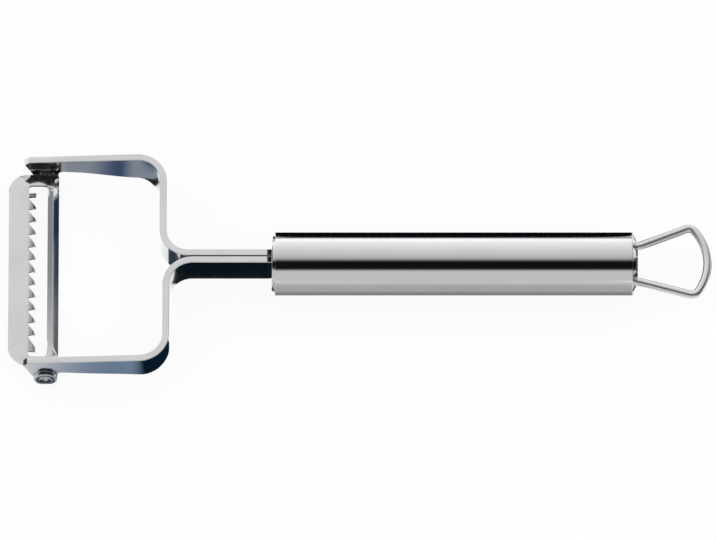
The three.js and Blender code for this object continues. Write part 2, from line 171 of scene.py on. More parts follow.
class PeelerBladeSettings(bpy.types.PropertyGroup):
    """Sizes of the stamped blade."""
    sheet: mm("Sheet", "Thickness of the sheet", 0.7)
    rise: mm("Rise", "Top of the plate above the pivot", 2.3)
    front_corner: mm("Front corner", "Radius of the plate's front corners", 5.4)
    back_corner: mm("Back corner", "Radius of the plate's back corners", 1.2)
    toothed_bar: mm("Toothed bar", "Width of the bar in front of the slot", 5.75)
    guide_bar: mm("Guide bar", "Width of the bar behind the slot", 3.2)
    bridge: mm("Bridge", "Length of a bridge at the slot's ends, with the slot in the middle", 3.0)
    slot_shift: mm("Slot shift", "How far the slot lies towards the near arm", 0.5)
    slot_corner: mm("Slot corner", "Radius of the slot's corners", 0.9)
    ridge_height: mm("Ridge height", "Rise of the guide bar's fold", 0.55)
    ridge_from_edge: mm("Ridge from edge", "From the fold to the guide bar's back edge", 1.62)
    flange_drop: mm("Flange drop", "How far the guide bar's back edge is turned down", 2.05)
    ridge_soft: mm("Ridge softness", "Half width of the rounded fold", 0.1)
    fold_end: mm("Fold end", "From the blade's ends to where the fold starts", 1.2)
    fold_run: mm("Fold run", "Length over which the fold grows", 4.5)
    end_slope: angle("End slope", "Slope of the bridges towards the blade's ends", 4.2)
    ear_radius: mm("Ear radius", "Half width of the ears round the pins", 2.5)
    ear_bend: mm("Ear bend", "Inner radius of the bend above an ear", 0.5)
    edge: mm("Edge", "Softening of the sheet's edges", 0.07)
    teeth: bpy.props.IntProperty(name="Teeth", description="Number of like teeth", default=11, min=1)
    pitch: mm("Pitch", "Distance between teeth", 3.97)
    first_root: mm("First root", "From the blade's middle to the near end of the first tooth's root", 18.97)
    root_run: mm("Root run", "Width of the rolled edge along the teeth's roots", 0.69)
    root_roll: mm("Root roll", "How far that edge is rolled down", 0.08)
    tooth_root: mm("Tooth root", "Width of a tooth at its root", 3.25)
    tooth_tip: mm("Tooth tip", "Width of a tooth at its tip", 0.5)
    tooth_lean: mm("Tooth lean", "From the root's near end to the tip's, towards the far arm", 0.48)
    tooth_reach: mm("Tooth reach", "Length of a tooth", 2.0)
    tooth_drop: mm("Tooth drop", "How far a tooth's tip is bent down", 1.1)
    fin_gap: mm("Fin gap", "From the first tooth to the fin beyond it", 0.55)
    fin_width: mm("Fin width", "Width of that fin", 1.2)
    last_heel: mm("Last heel", "How far the last tooth reaches on towards the near arm", 1.05)


class PeelerLoopSettings(bpy.types.PropertyGroup):
    """Sizes of the wire loop."""
    wire: length("Wire", "Radius of the wire", (loop_high.z - loop_low.z) / 2)
    root_spread: mm("Root spread", "From the handle's axis to each leg's root", 5.6)
    splay: angle("Splay", "Angle between a leg and the handle's axis", 18.8)
    splay_radius: mm("Splay radius", "Bend where a leg leaves the cap", 3.0)
    corner_radius: mm("Corner radius", "Bend at each outer corner", 2.2)
    end_radius: mm("End radius", "Radius of the loop's bowed end", 16.0)
    turn: angle("Turn", "How far the loop is pushed over towards the far side", 2.7)


class PeelerFinishSettings(bpy.types.PropertyGroup):
    """Colours of the steel finishes, with the spacers' colour darkened as painted shade."""
    polished: colour("Polished steel", "Colour of the handle", (0.66, 0.66, 0.665))
    strip: colour("Strip steel", "Colour of the arms", (0.69, 0.695, 0.70))
    wire: colour("Wire steel", "Colour of the loop", (0.67, 0.675, 0.675))
    blade: colour("Blade steel", "Colour of the blade", (0.69, 0.70, 0.70))
    pivot: colour("Pivot steel", "Colour of the collars and pins", (0.60, 0.61, 0.62))
    # The spacers' dark colour is painted shade for the narrow gap they sit in, not a finish of their own
    spacer: colour("Spacer steel", "Colour of the spacers", (0.16, 0.165, 0.175))


class PeelerStageSettings(bpy.types.PropertyGroup):
    """Camera and studio."""
    elevation: angle("Elevation", "Height of the camera over the floor", 65.0)
    distance: length("Distance", "From the camera to the tool", 6.0)
    pixels_per_metre: number("Pixels per metre", "Scale of the picture at the tool", 3500.0, min=1.0)
    across: number("Across", "Middle of the picture along the handle", -0.6 * MM, unit="LENGTH")
    up: number("Up", "Middle of the picture above the handle's axis", -1.73 * MM, unit="LENGTH")
    floor: colour("Floor", "Colour of the floor", (0.97, 0.97, 0.97))
    whiteness: share("Whiteness", "How far the floor stays white in the tool's shadow", 0.88)
    floor_gain: number("Floor gain", "Brightness of the floor where steel mirrors it", 1.15, min=0.0)


# Mesh helpers

MERGE_DISTANCE = 0.001 * MM
LEAST_EDGE = 0.0005 * MM
FLAT_WEIGHT = 80
CORNER_SHARE = 0.48


def skin(rings, closed=False):
    """Vertices and faces through rings of equally many points. Open runs of rings get end caps."""
    count = len(rings[0])
    vertices = [point for ring in rings for point in ring]
    faces = []
    for k in range(len(rings) if closed else len(rings) - 1):
        here = k * count
        there = (k + 1) % len(rings) * count
        for i in range(count):
            j = (i + 1) % count
            faces.append((here + i, here + j, there + j, there + i))
    if not closed:
        faces.append(tuple(reversed(range(count))))
        faces.append(tuple(range(len(vertices) - count, len(vertices))))
    return vertices, faces


def new_object(name, data):
    """An object at the origin, linked to the scene."""
    thing = bpy.data.objects.new(name, data)
    bpy.context.scene.collection.objects.link(thing)
    return thing


def new_piece(name, vertices, faces, material):
    """A mesh object at the origin, with doubles merged and its faces pointing out."""
    mesh = bpy.data.meshes.new(name)
    mesh.from_pydata([tuple(v) for v in vertices], [], faces)
    build = bmesh.new()
    build.from_mesh(mesh)
    bmesh.ops.remove_doubles(build, verts=build.verts, dist=MERGE_DISTANCE)
    bmesh.ops.dissolve_degenerate(build, edges=build.edges, dist=LEAST_EDGE)
    bmesh.ops.recalc_face_normals(build, faces=build.faces)
    build.to_mesh(mesh)
    build.free()
    mesh.materials.append(material)
    return new_object(name, mesh)


def settle(piece):
    """Turns a piece and its modifiers into one plain mesh."""
    graph = bpy.context.evaluated_depsgraph_get()
    mesh = bpy.data.meshes.new_from_object(piece.evaluated_get(graph))
    mesh.name = piece.name
    piece.modifiers.clear()
    piece.data = mesh
    return piece


def smooth(piece, degrees=35.0):
    """Smooth shading that keeps sharp edges and flat faces as they are."""
    piece.data.shade_smooth()
    piece.data.set_sharp_from_angle(angle=math.radians(degrees))
    weighted = piece.modifiers.new("flat faces", "WEIGHTED_NORMAL")
    weighted.keep_sharp = True
    weighted.weight = FLAT_WEIGHT
    return settle(piece)


def cut(piece, cutters):
    """Takes the cutters' shapes out of a piece and deletes the cutters."""
    for cutter in cutters:
        difference = piece.modifiers.new("cut", "BOOLEAN")
        difference.operation = "DIFFERENCE"
        difference.solver = "EXACT"
        difference.object = cutter
    settle(piece)
    for cutter in cutters:
        bpy.data.objects.remove(cutter)
    return piece


def hand_over(piece, body, node):
    """Lets a finished piece ride on its body and stand for its CAD node."""
    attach(piece, body)
    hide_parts(node)


def clamp(value, high=1.0):
    """A value kept between 0 and high."""
    return min(max(value, 0.0), high)


def ease(low, high, value):
    """A smooth step from 0 at low to 1 at high."""
    t = clamp((value - low) / (high - low))
    return t * t * (3 - 2 * t)


def corner_inset(past, radius):
    """How far a round corner moves an edge in, that far past the corner's start."""
    past = clamp(past, radius)
    return radius - math.sqrt(radius ** 2 - past ** 2)


def bend(start, corner, end, steps):
    """Points of a smooth bend from start to end, drawn towards a corner."""
    points = []
    for i in range(steps + 1):
        t = i / steps
        points.append(start * (1 - t) ** 2 + corner * (2 * t * (1 - t)) + end * t ** 2)
    return points


def arc(centre, radius, start, end, steps):
    """Points of an arc in a plane, both ends included."""
    turns = [start + (end - start) * i / steps for i in range(steps + 1)]
    return [(centre[0] + radius * math.cos(a), centre[1] + radius * math.sin(a)) for a in turns]


def rounded(points, radius, steps=5):
    """An outline of (radius, along) points whose inner corners are rounded, up to half of each side."""
    result = [points[0]]
    for before, corner, after in zip(points, points[1:], points[2:]):
        here = Vector(corner)
        back = Vector(before) - here
        ahead = Vector(after) - here
        turn = back.angle(ahead)
        trim = min(radius / math.tan(turn / 2), CORNER_SHARE * back.length, CORNER_SHARE * ahead.length)
        start = here + back.normalized() * trim
        end = here + ahead.normalized() * trim
        result += [tuple(point) for point in bend(start, here, end, steps)]
    result.append(points[-1])
    return result


def circle(sides):
    """Cosines and sines of equal turns round a circle."""
    turns = [2 * math.pi * i / sides for i in range(sides)]
    return [(math.cos(a), math.sin(a)) for a in turns]


def turned(profile, place, sides, closed=False):
    """The skin of a turned shape: place puts (radius, along, cosine, sine) into the frame."""
    ways = circle(sides)
    return skin([[place(*point, *way) for way in ways] for point in profile], closed)


def turned_ring(name, corners, edge, place, sides, material):
    """A turned piece with a bore, from a closed outline whose corners are rounded."""
    vertices, faces = turned(rounded(corners, edge)[:-1], place, sides, closed=True)
    return smooth(new_piece(name, vertices, faces, material))


def along_handle(radius, along, cosine, sine):
    """Places a turned shape round the handle's axis, measured from the handle's front end."""
    return Vector((FRONT_X + along, radius * cosine, AXIS_Z + radius * sine))


def across_head(side):
    """Places a turned shape round the pivot's axis, measured out from the middle of the head."""
    def place(radius, along, cosine, sine):
        return Vector((PIVOT.x + radius * cosine, side * along, PIVOT.z + radius * sine))
    return place


# Node trees

def feed(tree, node, inputs):
    """Sets a node's inputs, each to a value or by a link from an output."""
    for name, value in inputs.items():
        if isinstance(value, bpy.types.NodeSocket):
            tree.links.new(value, node.inputs[name])
        else:
            node.inputs[name].default_value = value


def add(tree, kind, inputs=None, **values):
    """A new node, with its properties and then its inputs."""
    node = tree.nodes.new(kind)
    for name, value in values.items():
        setattr(node, name, value)
    feed(tree, node, inputs or {})
    return node


def reckon(tree, operation, first, second, **values):
    """The output of a Math node on two values or outputs."""
    return add(tree, "ShaderNodeMath", {0: first, 1: second}, operation=operation, **values).outputs["Value"]


def new_group(name, kind, inputs, outputs):
    """A node tree with named sockets, and the outputs of its input node."""
    group = bpy.data.node_groups.new(name, kind)
    for label, socket_kind, default in inputs:
        socket = group.interface.new_socket(name=label, in_out="INPUT", socket_type=socket_kind)
        if default is not None:
            socket.default_value = default
    for label, socket_kind in outputs:
        group.interface.new_socket(name=label, in_out="OUTPUT", socket_type=socket_kind)
    return group, add(group, "NodeGroupInput").outputs


def finish_tree(tree, geometry, material):
    """Ends a geometry tree: real geometry, in its material."""
    real = add(tree, "GeometryNodeRealizeInstances", {"Geometry": geometry}).outputs["Geometry"]
    finish = add(tree, "GeometryNodeSetMaterial", {"Geometry": real, "Material": material})
    add(tree, "NodeGroupOutput", {"Geometry": finish.outputs["Geometry"]})


def set_inputs(modifier, values):
    """Sets a tree's named inputs on its modifier, by each socket's identifier."""
    sockets = {
        item.name: item.identifier
        for item in modifier.node_group.interface.items_tree
        if item.item_type == "SOCKET" and item.in_out == "INPUT"
    }
    for name, value in values.items():
        modifier[sockets[name]] = value


def bare_tree(owner):
    """The emptied node tree of a new material or world."""
    owner.use_nodes = True
    owner.node_tree.nodes.clear()
    return owner.node_tree


# Shared effects of the finishes

def polish_lines_group():
    """Fine lines that a polishing belt leaves, stretched along one axis."""
    group, given = new_group(
        "Polish lines",
        "ShaderNodeTree",
        [
            ("Direction", "NodeSocketVector", (1.0, 1.0, 1.0)),
            ("Fineness", "NodeSocketFloat", 9000.0),
            ("Depth", "NodeSocketFloat", 1.0),
        ],
        [("Height", "NodeSocketFloat"), ("Lines", "NodeSocketFloat")],
    )
    place = add(group, "ShaderNodeTexCoord").outputs["Object"]
    stretch = add(group, "ShaderNodeVectorMath", {0: place, 1: given["Direction"]}, operation="MULTIPLY")
    fine = add(
        group, "ShaderNodeTexNoise",
        {"Vector": stretch.outputs["Vector"], "Scale": given["Fineness"], "Detail": 2.0},
    )
    broad = add(group, "ShaderNodeTexNoise", {"Vector": place, "Scale": 90.0, "Detail": 3.0})
    fade = add(
        group, "ShaderNodeMapRange", {"Value": broad.outputs["Fac"], "From Min": 0.42, "From Max": 0.68}
    )
    lines = reckon(group, "MULTIPLY", fine.outputs["Fac"], fade.outputs["Result"])
    depth = reckon(group, "MULTIPLY", lines, given["Depth"])
    add(group, "NodeGroupOutput", {"Height": depth, "Lines": lines})
    return group


def handling_group():
    """Faint haze from handling: a tone for the colour and a spread for the roughness."""
    group, given = new_group(
        "Handling haze",
        "ShaderNodeTree",
        [
            ("Clean", "NodeSocketColor", (0.66, 0.66, 0.66, 1.0)),
            ("Dull", "NodeSocketColor", (0.6, 0.6, 0.6, 1.0)),
            ("Lines", "NodeSocketFloat", 0.0),
            ("Least", "NodeSocketFloat", 0.05),
            ("Most", "NodeSocketFloat", 0.12),
        ],
        [("Colour", "NodeSocketColor"), ("Roughness", "NodeSocketFloat")],
    )
    place = add(group, "ShaderNodeTexCoord").outputs["Object"]
    smudge = add(
        group, "ShaderNodeTexNoise", {"Vector": place, "Scale": 55.0, "Detail": 4.0, "Distortion": 0.6}
    )
    pits = add(group, "ShaderNodeTexNoise", {"Vector": place, "Scale": 1800.0})
    mask = add(
        group, "ShaderNodeMapRange", {"Value": smudge.outputs["Fac"], "From Min": 0.35, "From Max": 0.75}
    )
    worn = reckon(group, "ADD", mask.outputs["Result"], given["Lines"], use_clamp=True)
    speck = reckon(group, "MULTIPLY", pits.outputs["Fac"], 0.25)
    both = reckon(group, "ADD", worn, speck, use_clamp=True)
    tone = add(
        group, "ShaderNodeMix", {"Factor": both, "A": given["Clean"], "B": given["Dull"]}, data_type="RGBA"
    )
    spread = add(
        group, "ShaderNodeMapRange", {"Value": both, "To Min": given["Least"], "To Max": given["Most"]}
    )
    add(
        group, "NodeGroupOutput",
        {"Colour": tone.outputs["Result"], "Roughness": spread.outputs["Result"]},
    )
    return group


def shared_group(name, make):
    return bpy.data.node_groups.get(name) or make()


def steel(name, tint, direction, fineness, depth, least, most, dulling=0.92):
    """A steel finish: its colour, the way, fineness and depth of its polish lines, its least and most
    roughness, and how dark its haze is."""
    found = bpy.data.materials.get(name)
    if found:
        return found
    material = bpy.data.materials.new(name)
    material.use_nodes = True
    tree = material.node_tree
    lines = add(
        tree, "ShaderNodeGroup", {"Direction": direction, "Fineness": fineness, "Depth": depth},
        node_tree=shared_group("Polish lines", polish_lines_group),
    ).outputs
    haze = add(
        tree,
        "ShaderNodeGroup",
        {
            "Clean": (*tint, 1.0),
            "Dull": (*[dulling * c for c in tint], 1.0),
            "Lines": lines["Lines"],
            "Least": least,
            "Most": most,
        },
        node_tree=shared_group("Handling haze", handling_group),
    ).outputs
    bump = add(tree, "ShaderNodeBump", {"Strength": 0.12, "Distance": 0.01 * MM, "Height": lines["Height"]})
    feed(
        tree,
        tree.nodes["Principled BSDF"],
        {
            "Metallic": 1.0,
            "Base Color": haze["Colour"],
            "Roughness": haze["Roughness"],
            "Normal": bump.outputs["Normal"],
        },
    )
    return material


# The finishes

ALONG_HANDLE = (0.02, 1.0, 1.0)
ACROSS_HEAD = (1.0, 0.02, 1.0)
ALL_WAYS = (1.0, 1.0, 1.0)


def finishes(context):
    return context.scene.peeler_finish


def polished_steel(context):
    tint = finishes(context).polished
    return steel("polished handle steel", tint, ALONG_HANDLE, 9000.0, 0.5, 0.045, 0.075, dulling=0.97)


def strip_steel(context):
    return steel("polished strip steel", finishes(context).strip, ALONG_HANDLE, 7000.0, 1.0, 0.09, 0.15)


def wire_steel(context):
    return steel("drawn wire steel", finishes(context).wire, ALONG_HANDLE, 7000.0, 0.8, 0.24, 0.32)


def blade_steel(context):
    return steel("ground blade steel", finishes(context).blade, ACROSS_HEAD, 6000.0, 1.4, 0.08, 0.14)


def pivot_steel(context):
    return steel("turned pivot steel", finishes(context).pivot, ALL_WAYS, 4000.0, 1.0, 0.09, 0.15)


# Its dark colour is painted shade for the gap round the spacers
def shaded_spacer_steel(context):
    return steel("dull spacer steel", finishes(context).spacer, ALL_WAYS, 4000.0, 1.0, 0.2, 0.3)


# Handle

HANDLE_SIDES = 160
HOLE_SIDES = 48
RIM_STEPS = 8
# Places of the dome's rings between the slot and the rim
DOME_SHARES = (0.8, 0.55, 0.3, 0.1, 0.0)
# Radius of the small flat that closes the rear cap on its axis
CAP_CORE = 0.5 * MM


def handle_tube(context):
    s = context.scene.peeler_handle
    inner = s.radius - s.wall
    long = REAR_X - FRONT_X
    corners = [
        (s.radius, long / 2), (s.radius, long), (inner, long),
        (inner, 0.0), (s.radius, 0.0), (s.radius, long / 2),
    ]
    return turned_ring("polished_tube", corners, s.rim, along_handle, HANDLE_SIDES, polished_steel(context))


def slot_outline(half_y, half_z, count):
    """A rectangle's points, spread so that each faces the circle round it at the same turn."""
    points = []
    for cosine, sine in circle(count):
        reach = min(half / abs(way) for half, way in ((half_y, cosine), (half_z, sine)) if way)
        points.append((reach * cosine, reach * sine))
    return points


def front_cap(context):
    s = context.scene.peeler_handle
    arm = context.scene.peeler_arm
    half_y = arm.tang_gap / 2 + arm.thickness + s.slot_clearance
    half_z = SHANK_HALF_WIDTH + s.slot_clearance
    slot = slot_outline(half_y, half_z, HANDLE_SIDES)
    plug = s.radius - s.wall - s.spigot_clearance
    crown = plug - s.front_edge
    ways = circle(HANDLE_SIDES)

    def ring(radius, along):
        return [along_handle(radius, along, *way) for way in ways]

    def dome(radius):
        return -s.front_reach - s.front_crown * (1 - (radius / crown) ** 2)

    def towards_slot(part):
        points = []
        for (y, z), (cosine, sine) in zip(slot, ways):
            y += part * (crown * cosine - y)
            z += part * (crown * sine - z)
            points.append(Vector((FRONT_X + dome(math.hypot(y, z)), y, AXIS_Z + z)))
        return points

    rings = [ring(plug, s.spigot)]
    edge = arc((crown, s.front_edge - s.front_reach), s.front_edge, 0.0, -QUARTER, RIM_STEPS)
    rings += [ring(*point) for point in edge]
    rings += [towards_slot(part) for part in DOME_SHARES]
    rings.append([Vector((FRONT_X + s.spigot, y, AXIS_Z + z)) for y, z in slot])
    return smooth(new_piece("domed_front_cap", *skin(rings, closed=True), polished_steel(context)))


def rear_cap(context):
    s = context.scene.peeler_handle
    loop = context.scene.peeler_loop
    spigot = s.radius - s.wall - s.spigot_clearance
    long = REAR_X - FRONT_X
    face = rear_high.x - FRONT_X
    shoulder = (s.rear_shoulder, long + s.rear_shoulder_reach)
    corners = [(s.radius, long), (s.radius, long + s.rim), shoulder, (s.rear_flat, face), (CAP_CORE, face)]
    cone = rounded(corners, s.rear_edge)
    profile = [(CAP_CORE, long - s.spigot), (spigot, long - s.spigot), (spigot, long), *cone]
    cap = new_piece("coned_rear_cap", *turned(profile, along_handle, HANDLE_SIDES), polished_steel(context))
    hole = loop.wire + s.hole_clearance
    cutters = []
    for side in (1, -1):
        def place(radius, along, cosine, sine):
            return along_handle(1.0, along, side * loop.root_spread + radius * cosine, radius * sine)
        ends = [(hole, long - 2 * s.spigot), (hole, long + 2 * s.spigot)]
        cutters.append(new_piece(f"hole_{side}", *turned(ends, place, HOLE_SIDES), polished_steel(context)))
    return smooth(cut(cap, cutters))


class PEELER_OT_handle(bpy.types.Operator):
    """Build the handle tube and its two caps"""
    bl_idname = "peeler.handle"
    bl_label = "Handle"

    def execute(self, context):
        hand_over(handle_tube(context), "handle", "handle_tube")
        hand_over(front_cap(context), "handle", "front_cap")
        hand_over(rear_cap(context), "handle", "rear_cap")
        return {"FINISHED"}


# Arms

BEND_STEPS = 28
TOE_STEPS = 12
FILLET_STEPS = 10
EYE_STEPS = 40
SLANT_STEPS = 8
EDGE_STEPS = 5
# Share of the bend's radius, in from the arm, from which the lower edge leans in fully
LEAN_FULL = 0.3


def strip_route(s, leg_x):
    """Stations (x, y, normal x, normal y) along the middle of the far strip, from the tang to the eye."""
    tang_y = (s.tang_gap + s.thickness) / 2
    arm_y = ARM_OUTER_Y - s.thickness / 2
    inner = (leg_x + s.bend, tang_y + s.bend)
    outer = (leg_x - s.bend, arm_y - s.bend)
    route = [(TANG_END_X, tang_y, 0.0, 1.0), (FRONT_X, tang_y, 0.0, 1.0)]
    for i in range(BEND_STEPS + 1):
        a = 3 * QUARTER - QUARTER * i / BEND_STEPS
        turn = Vector((math.cos(a), math.sin(a)))
        route.append((inner[0] + s.bend * turn.x, inner[1] + s.bend * turn.y, -turn.x, -turn.y))
    for i in range(BEND_STEPS + 1):
        a = QUARTER * i / BEND_STEPS
        turn = Vector((math.cos(a), math.sin(a)))
        route.append((outer[0] + s.bend * turn.x, outer[1] + s.bend * turn.y, turn.x, turn.y))
    for i in range(1, TOE_STEPS + 1):
        route.append((outer[0] - s.toe_run * i / TOE_STEPS, arm_y, 0.0, 1.0))
    return route


def end_outline(s):
    """Lower outline of the arm's end, from the fillet round the eye to the beak, as (x, z) points."""
    pivot = (PIVOT.x, PIVOT.z)
    fillet_z = AXIS_Z - s.end_depth - s.eye_fillet
    reach = s.eye_radius + s.eye_fillet
    fillet_x = pivot[0] + math.sqrt(reach ** 2 - (fillet_z - pivot[1]) ** 2)
    to_fillet = math.atan2(fillet_z - pivot[1], fillet_x - pivot[0])
    beak = (BEAK_X, AXIS_Z + s.beak_rise)
    away = math.hypot(pivot[0] - beak[0], pivot[1] - beak[1])
    slant = math.atan2(pivot[1] - beak[1], pivot[0] - beak[0]) - math.asin(s.eye_radius / away)
    points = arc((fillet_x, fillet_z), s.eye_fillet, QUARTER, to_fillet + 2 * QUARTER, FILLET_STEPS)
    points += arc(pivot, s.eye_radius, to_fillet, slant - QUARTER, EYE_STEPS)
    touch = points[-1]
    for i in range(1, SLANT_STEPS + 1):
        t = i / SLANT_STEPS
        points.append((touch[0] + t * (beak[0] - touch[0]), touch[1] + t * (beak[1] - touch[1])))
    return points


def inward_normals(points):
    """Unit normals of an outline, to the right of its run."""
    normals = []
    for before, after in zip(points[:1] + points[:-1], points[1:] + points[-1:]):
        run = Vector((after[0] - before[0], after[1] - before[1])).normalized()
        normals.append((run.y, -run.x))
    return normals


def arm_piece(name, side, context):
    s = context.scene.peeler_arm
    leg, toe = (s.far_leg, s.far_toe) if side > 0 else (s.near_leg, s.near_toe)
    leg_x = FRONT_X - leg
    half = s.thickness / 2
    arm_y = ARM_OUTER_Y - half
    outline = end_outline(s)
    lower_end_x = outline[0][0]
    top_start_x = leg_x + s.bend
    top_end_x = BEAK_X + s.beak_chamfer
    low_start_x = leg_x - s.taper_start

    def upper(x):
        t = clamp((top_start_x - x) / (top_start_x - top_end_x))
        return AXIS_Z + SHANK_HALF_WIDTH + t * (s.end_rise - SHANK_HALF_WIDTH)

    def lower(x):
        t = clamp((low_start_x - x) / (low_start_x - lower_end_x))
        return AXIS_Z - SHANK_HALF_WIDTH + t * (SHANK_HALF_WIDTH - s.end_depth)

    def lean(x, y):
        round_bend = ease(arm_y - s.bend, arm_y - LEAN_FULL * s.bend, y)
        return round_bend * ease(leg_x - s.bend - s.toe_run, leg_x - s.bend, x) * toe

    # Each station: plan points of both edges, plan normal, both heights, and the way in from the lower edge
    stations = []
    for x, y, nx, ny in strip_route(s, leg_x):
        low = (x - nx * lean(x, y), y - ny * lean(x, y))
        stations.append(((x, y), low, (nx, ny), upper(x), lower(x), (0.0, 1.0)))
    for i, ((x, z), way) in enumerate(zip(outline, inward_normals(outline))):
        top_x = lower_end_x + (top_end_x - lower_end_x) * i / (len(outline) - 1)
        stations.append(((top_x, arm_y), (x, arm_y), (0.0, 1.0), upper(top_x), z, way))

    quarter_turn = [QUARTER * j / EDGE_STEPS for j in range(EDGE_STEPS + 1)]

    def ring(top, low, normal, top_z, low_z, low_in):
        points = []
        for (px, py), pz, (dx, dz), order in ((top, top_z, (0.0, -1.0), 1), (low, low_z, low_in, -1)):
            for face in (-order, order):
                for turn in reversed(quarter_turn) if face == -order else quarter_turn:
                    t = face * (half - s.edge + s.edge * math.sin(turn))
                    inset = s.edge * (1 - math.cos(turn))
                    y = py + normal[1] * t
                    points.append(Vector((px + normal[0] * t + dx * inset, side * y, pz + dz * inset)))
        return points

    vertices, faces = skin([ring(*station) for station in stations])
    return smooth(new_piece(name, vertices, faces, strip_steel(context)))


class PEELER_OT_arms(bpy.types.Operator):
    """Build the two bent strips that carry the blade"""
    bl_idname = "peeler.arms"
    bl_label = "Arms"

    def execute(self, context):
        hand_over(arm_piece("far_strip_arm", 1, context), "handle", "far_arm")
        hand_over(arm_piece("near_strip_arm", -1, context), "handle", "near_arm")
        return {"FINISHED"}


# Pivots

PIVOT_SIDES = 72
# Radius of the small flat that closes a pin on its axis
PIN_CORE = 0.05 * MM


def collar_piece(word, side, context):
    s = context.scene.peeler_pivot
    bore = s.pin_radius + s.pin_clearance
    inner = -collar_high.y
    outer = -collar_low.y
    middle = (s.collar_radius, (inner + outer) / 2)
    floor = outer - s.dish_depth
    corners = [
        middle, (s.collar_radius, outer), (s.dish_radius + s.edge, outer), (s.dish_radius, floor),
        (bore, floor), (bore, inner), (s.collar_radius, inner), middle,
    ]
    name = f"{word}_dished_collar"
    return turned_ring(name, corners, s.collar_edge, across_head(side), PIVOT_SIDES, pivot_steel(context))


def pin_piece(word, side, context):
    s = context.scene.peeler_pivot
    inner = -pin_high.y
    outer = -pin_low.y
    seat = -collar_low.y - s.dish_depth
    corners = [
        (PIN_CORE, inner), (s.pin_radius, inner), (s.pin_radius, seat), (s.pin_head, seat),
        (s.pin_head, outer), (s.dimple_radius, outer), (PIN_CORE, outer - s.dimple_depth),
        (PIN_CORE, inner + s.edge),
    ]
    vertices, faces = turned(rounded(corners, s.edge)[:-1], across_head(side), PIVOT_SIDES)
    return smooth(new_piece(f"{word}_dimpled_pin", vertices, faces, pivot_steel(context)))


def spacer_piece(word, side, context):
    s = context.scene.peeler_pivot
    bore = s.pin_radius + s.pin_clearance
    inner = -spacer_high.y
    outer = -spacer_low.y
    middle = (s.spacer_radius, (inner + outer) / 2)
    corners = [
        middle, (s.spacer_radius, outer), (bore, outer), (bore, inner), (s.spacer_radius, inner), middle,
    ]
    name = f"{word}_thin_spacer"
    return turned_ring(name, corners, s.edge, across_head(side), PIVOT_SIDES, shaded_spacer_steel(context))


class PEELER_OT_pivots(bpy.types.Operator):
    """Build the collar, pin and spacer of each pivot"""
    bl_idname = "peeler.pivots"
    bl_label = "Pivots"

    def execute(self, context):
        for word, side in (("far", 1), ("near", -1)):
            hand_over(collar_piece(word, side, context), "handle", f"{word}_collar")
            hand_over(pin_piece(word, side, context), "handle", f"{word}_pivot_pin")
            hand_over(spacer_piece(word, side, context), "handle", f"{word}_spacer")
        return {"FINISHED"}


# Blade

# Shares of the way across each stretch of the sheet where its mesh has a line
BAR_COLUMNS = (0.0, 0.12, 0.5, 0.88, 0.92, 0.96, 1.0)
GAP_COLUMNS = (0.17, 0.33, 0.5, 0.67, 0.83)
FOLD_FRONT_COLUMNS = (0.0, 0.35, 0.7)
FOLD_BACK_COLUMNS = (0.33, 0.66, 1.0)
CREST_STEPS = 6
SLOT_COLUMN = len(BAR_COLUMNS) - 1

# Mesh lines along the blade: how many on each stretch, the end stretch's length, and the least distance
SLOT_ROWS = 24
FOLD_ROWS = 14
END_ROWS = 14
FRONT_CORNER_ROWS = 12
BACK_CORNER_ROWS = 5
SLOT_CORNER_ROWS = 6
END_RUN = 3.6 * MM
LEAST_ROW = 0.06 * MM

# How the bridges sink: share of the slope in their middle, the most at their sides, where it fades out in
# front of and behind the slot, and how far inside the slot's end it starts. Then the rolled edge's own fade
BRIDGE_MIDDLE = 0.25
BRIDGE_SIDE_MOST = 1.6
BRIDGE_FRONT_FADE = (2.6 * MM, 1.0 * MM)
BRIDGE_BACK_FADE = (1.4 * MM, 0.2 * MM)
BRIDGE_LEAD = 0.4 * MM
ROLL_FADE = 1.5 * MM

# Ears: share of the sheet by which they start under its top, length inside the plate, share of the radius
# at which the last ring lies, and its half width
EAR_SINK = 0.6
EAR_LAP = 0.5 * MM
EAR_TIP = 0.999
EAR_TIP_HALF = 0.02 * MM
EAR_BEND_STEPS = 10
EAR_ROUND_STEPS = 12

# Teeth: how deep and how low a root sits in the bar, how far the row and a root's underside are lifted, how
# much thinner a tip is, how much of the bend is a late curl, and how the fin and the last tooth differ
TOOTH_STEPS = 12
TOOTH_LAP = 0.3 * MM
TOOTH_SINK = 0.02 * MM
TOOTH_LIFT = 0.012 * MM
TOOTH_ROOT_RISE = 0.06 * MM
TOOTH_THINNING = 0.4
TOOTH_CURL = 0.55
FIN_DROP = 0.88
LAST_DROP = 0.62
LAST_LEAN = 0.2

# Which of the sheet's edges are softened, in how many steps, and which stay sharp to the eye
SOFT_FROM_DEGREES = 40
SOFT_SEGMENTS = 2
BLADE_SHARP_DEGREES = 30.0


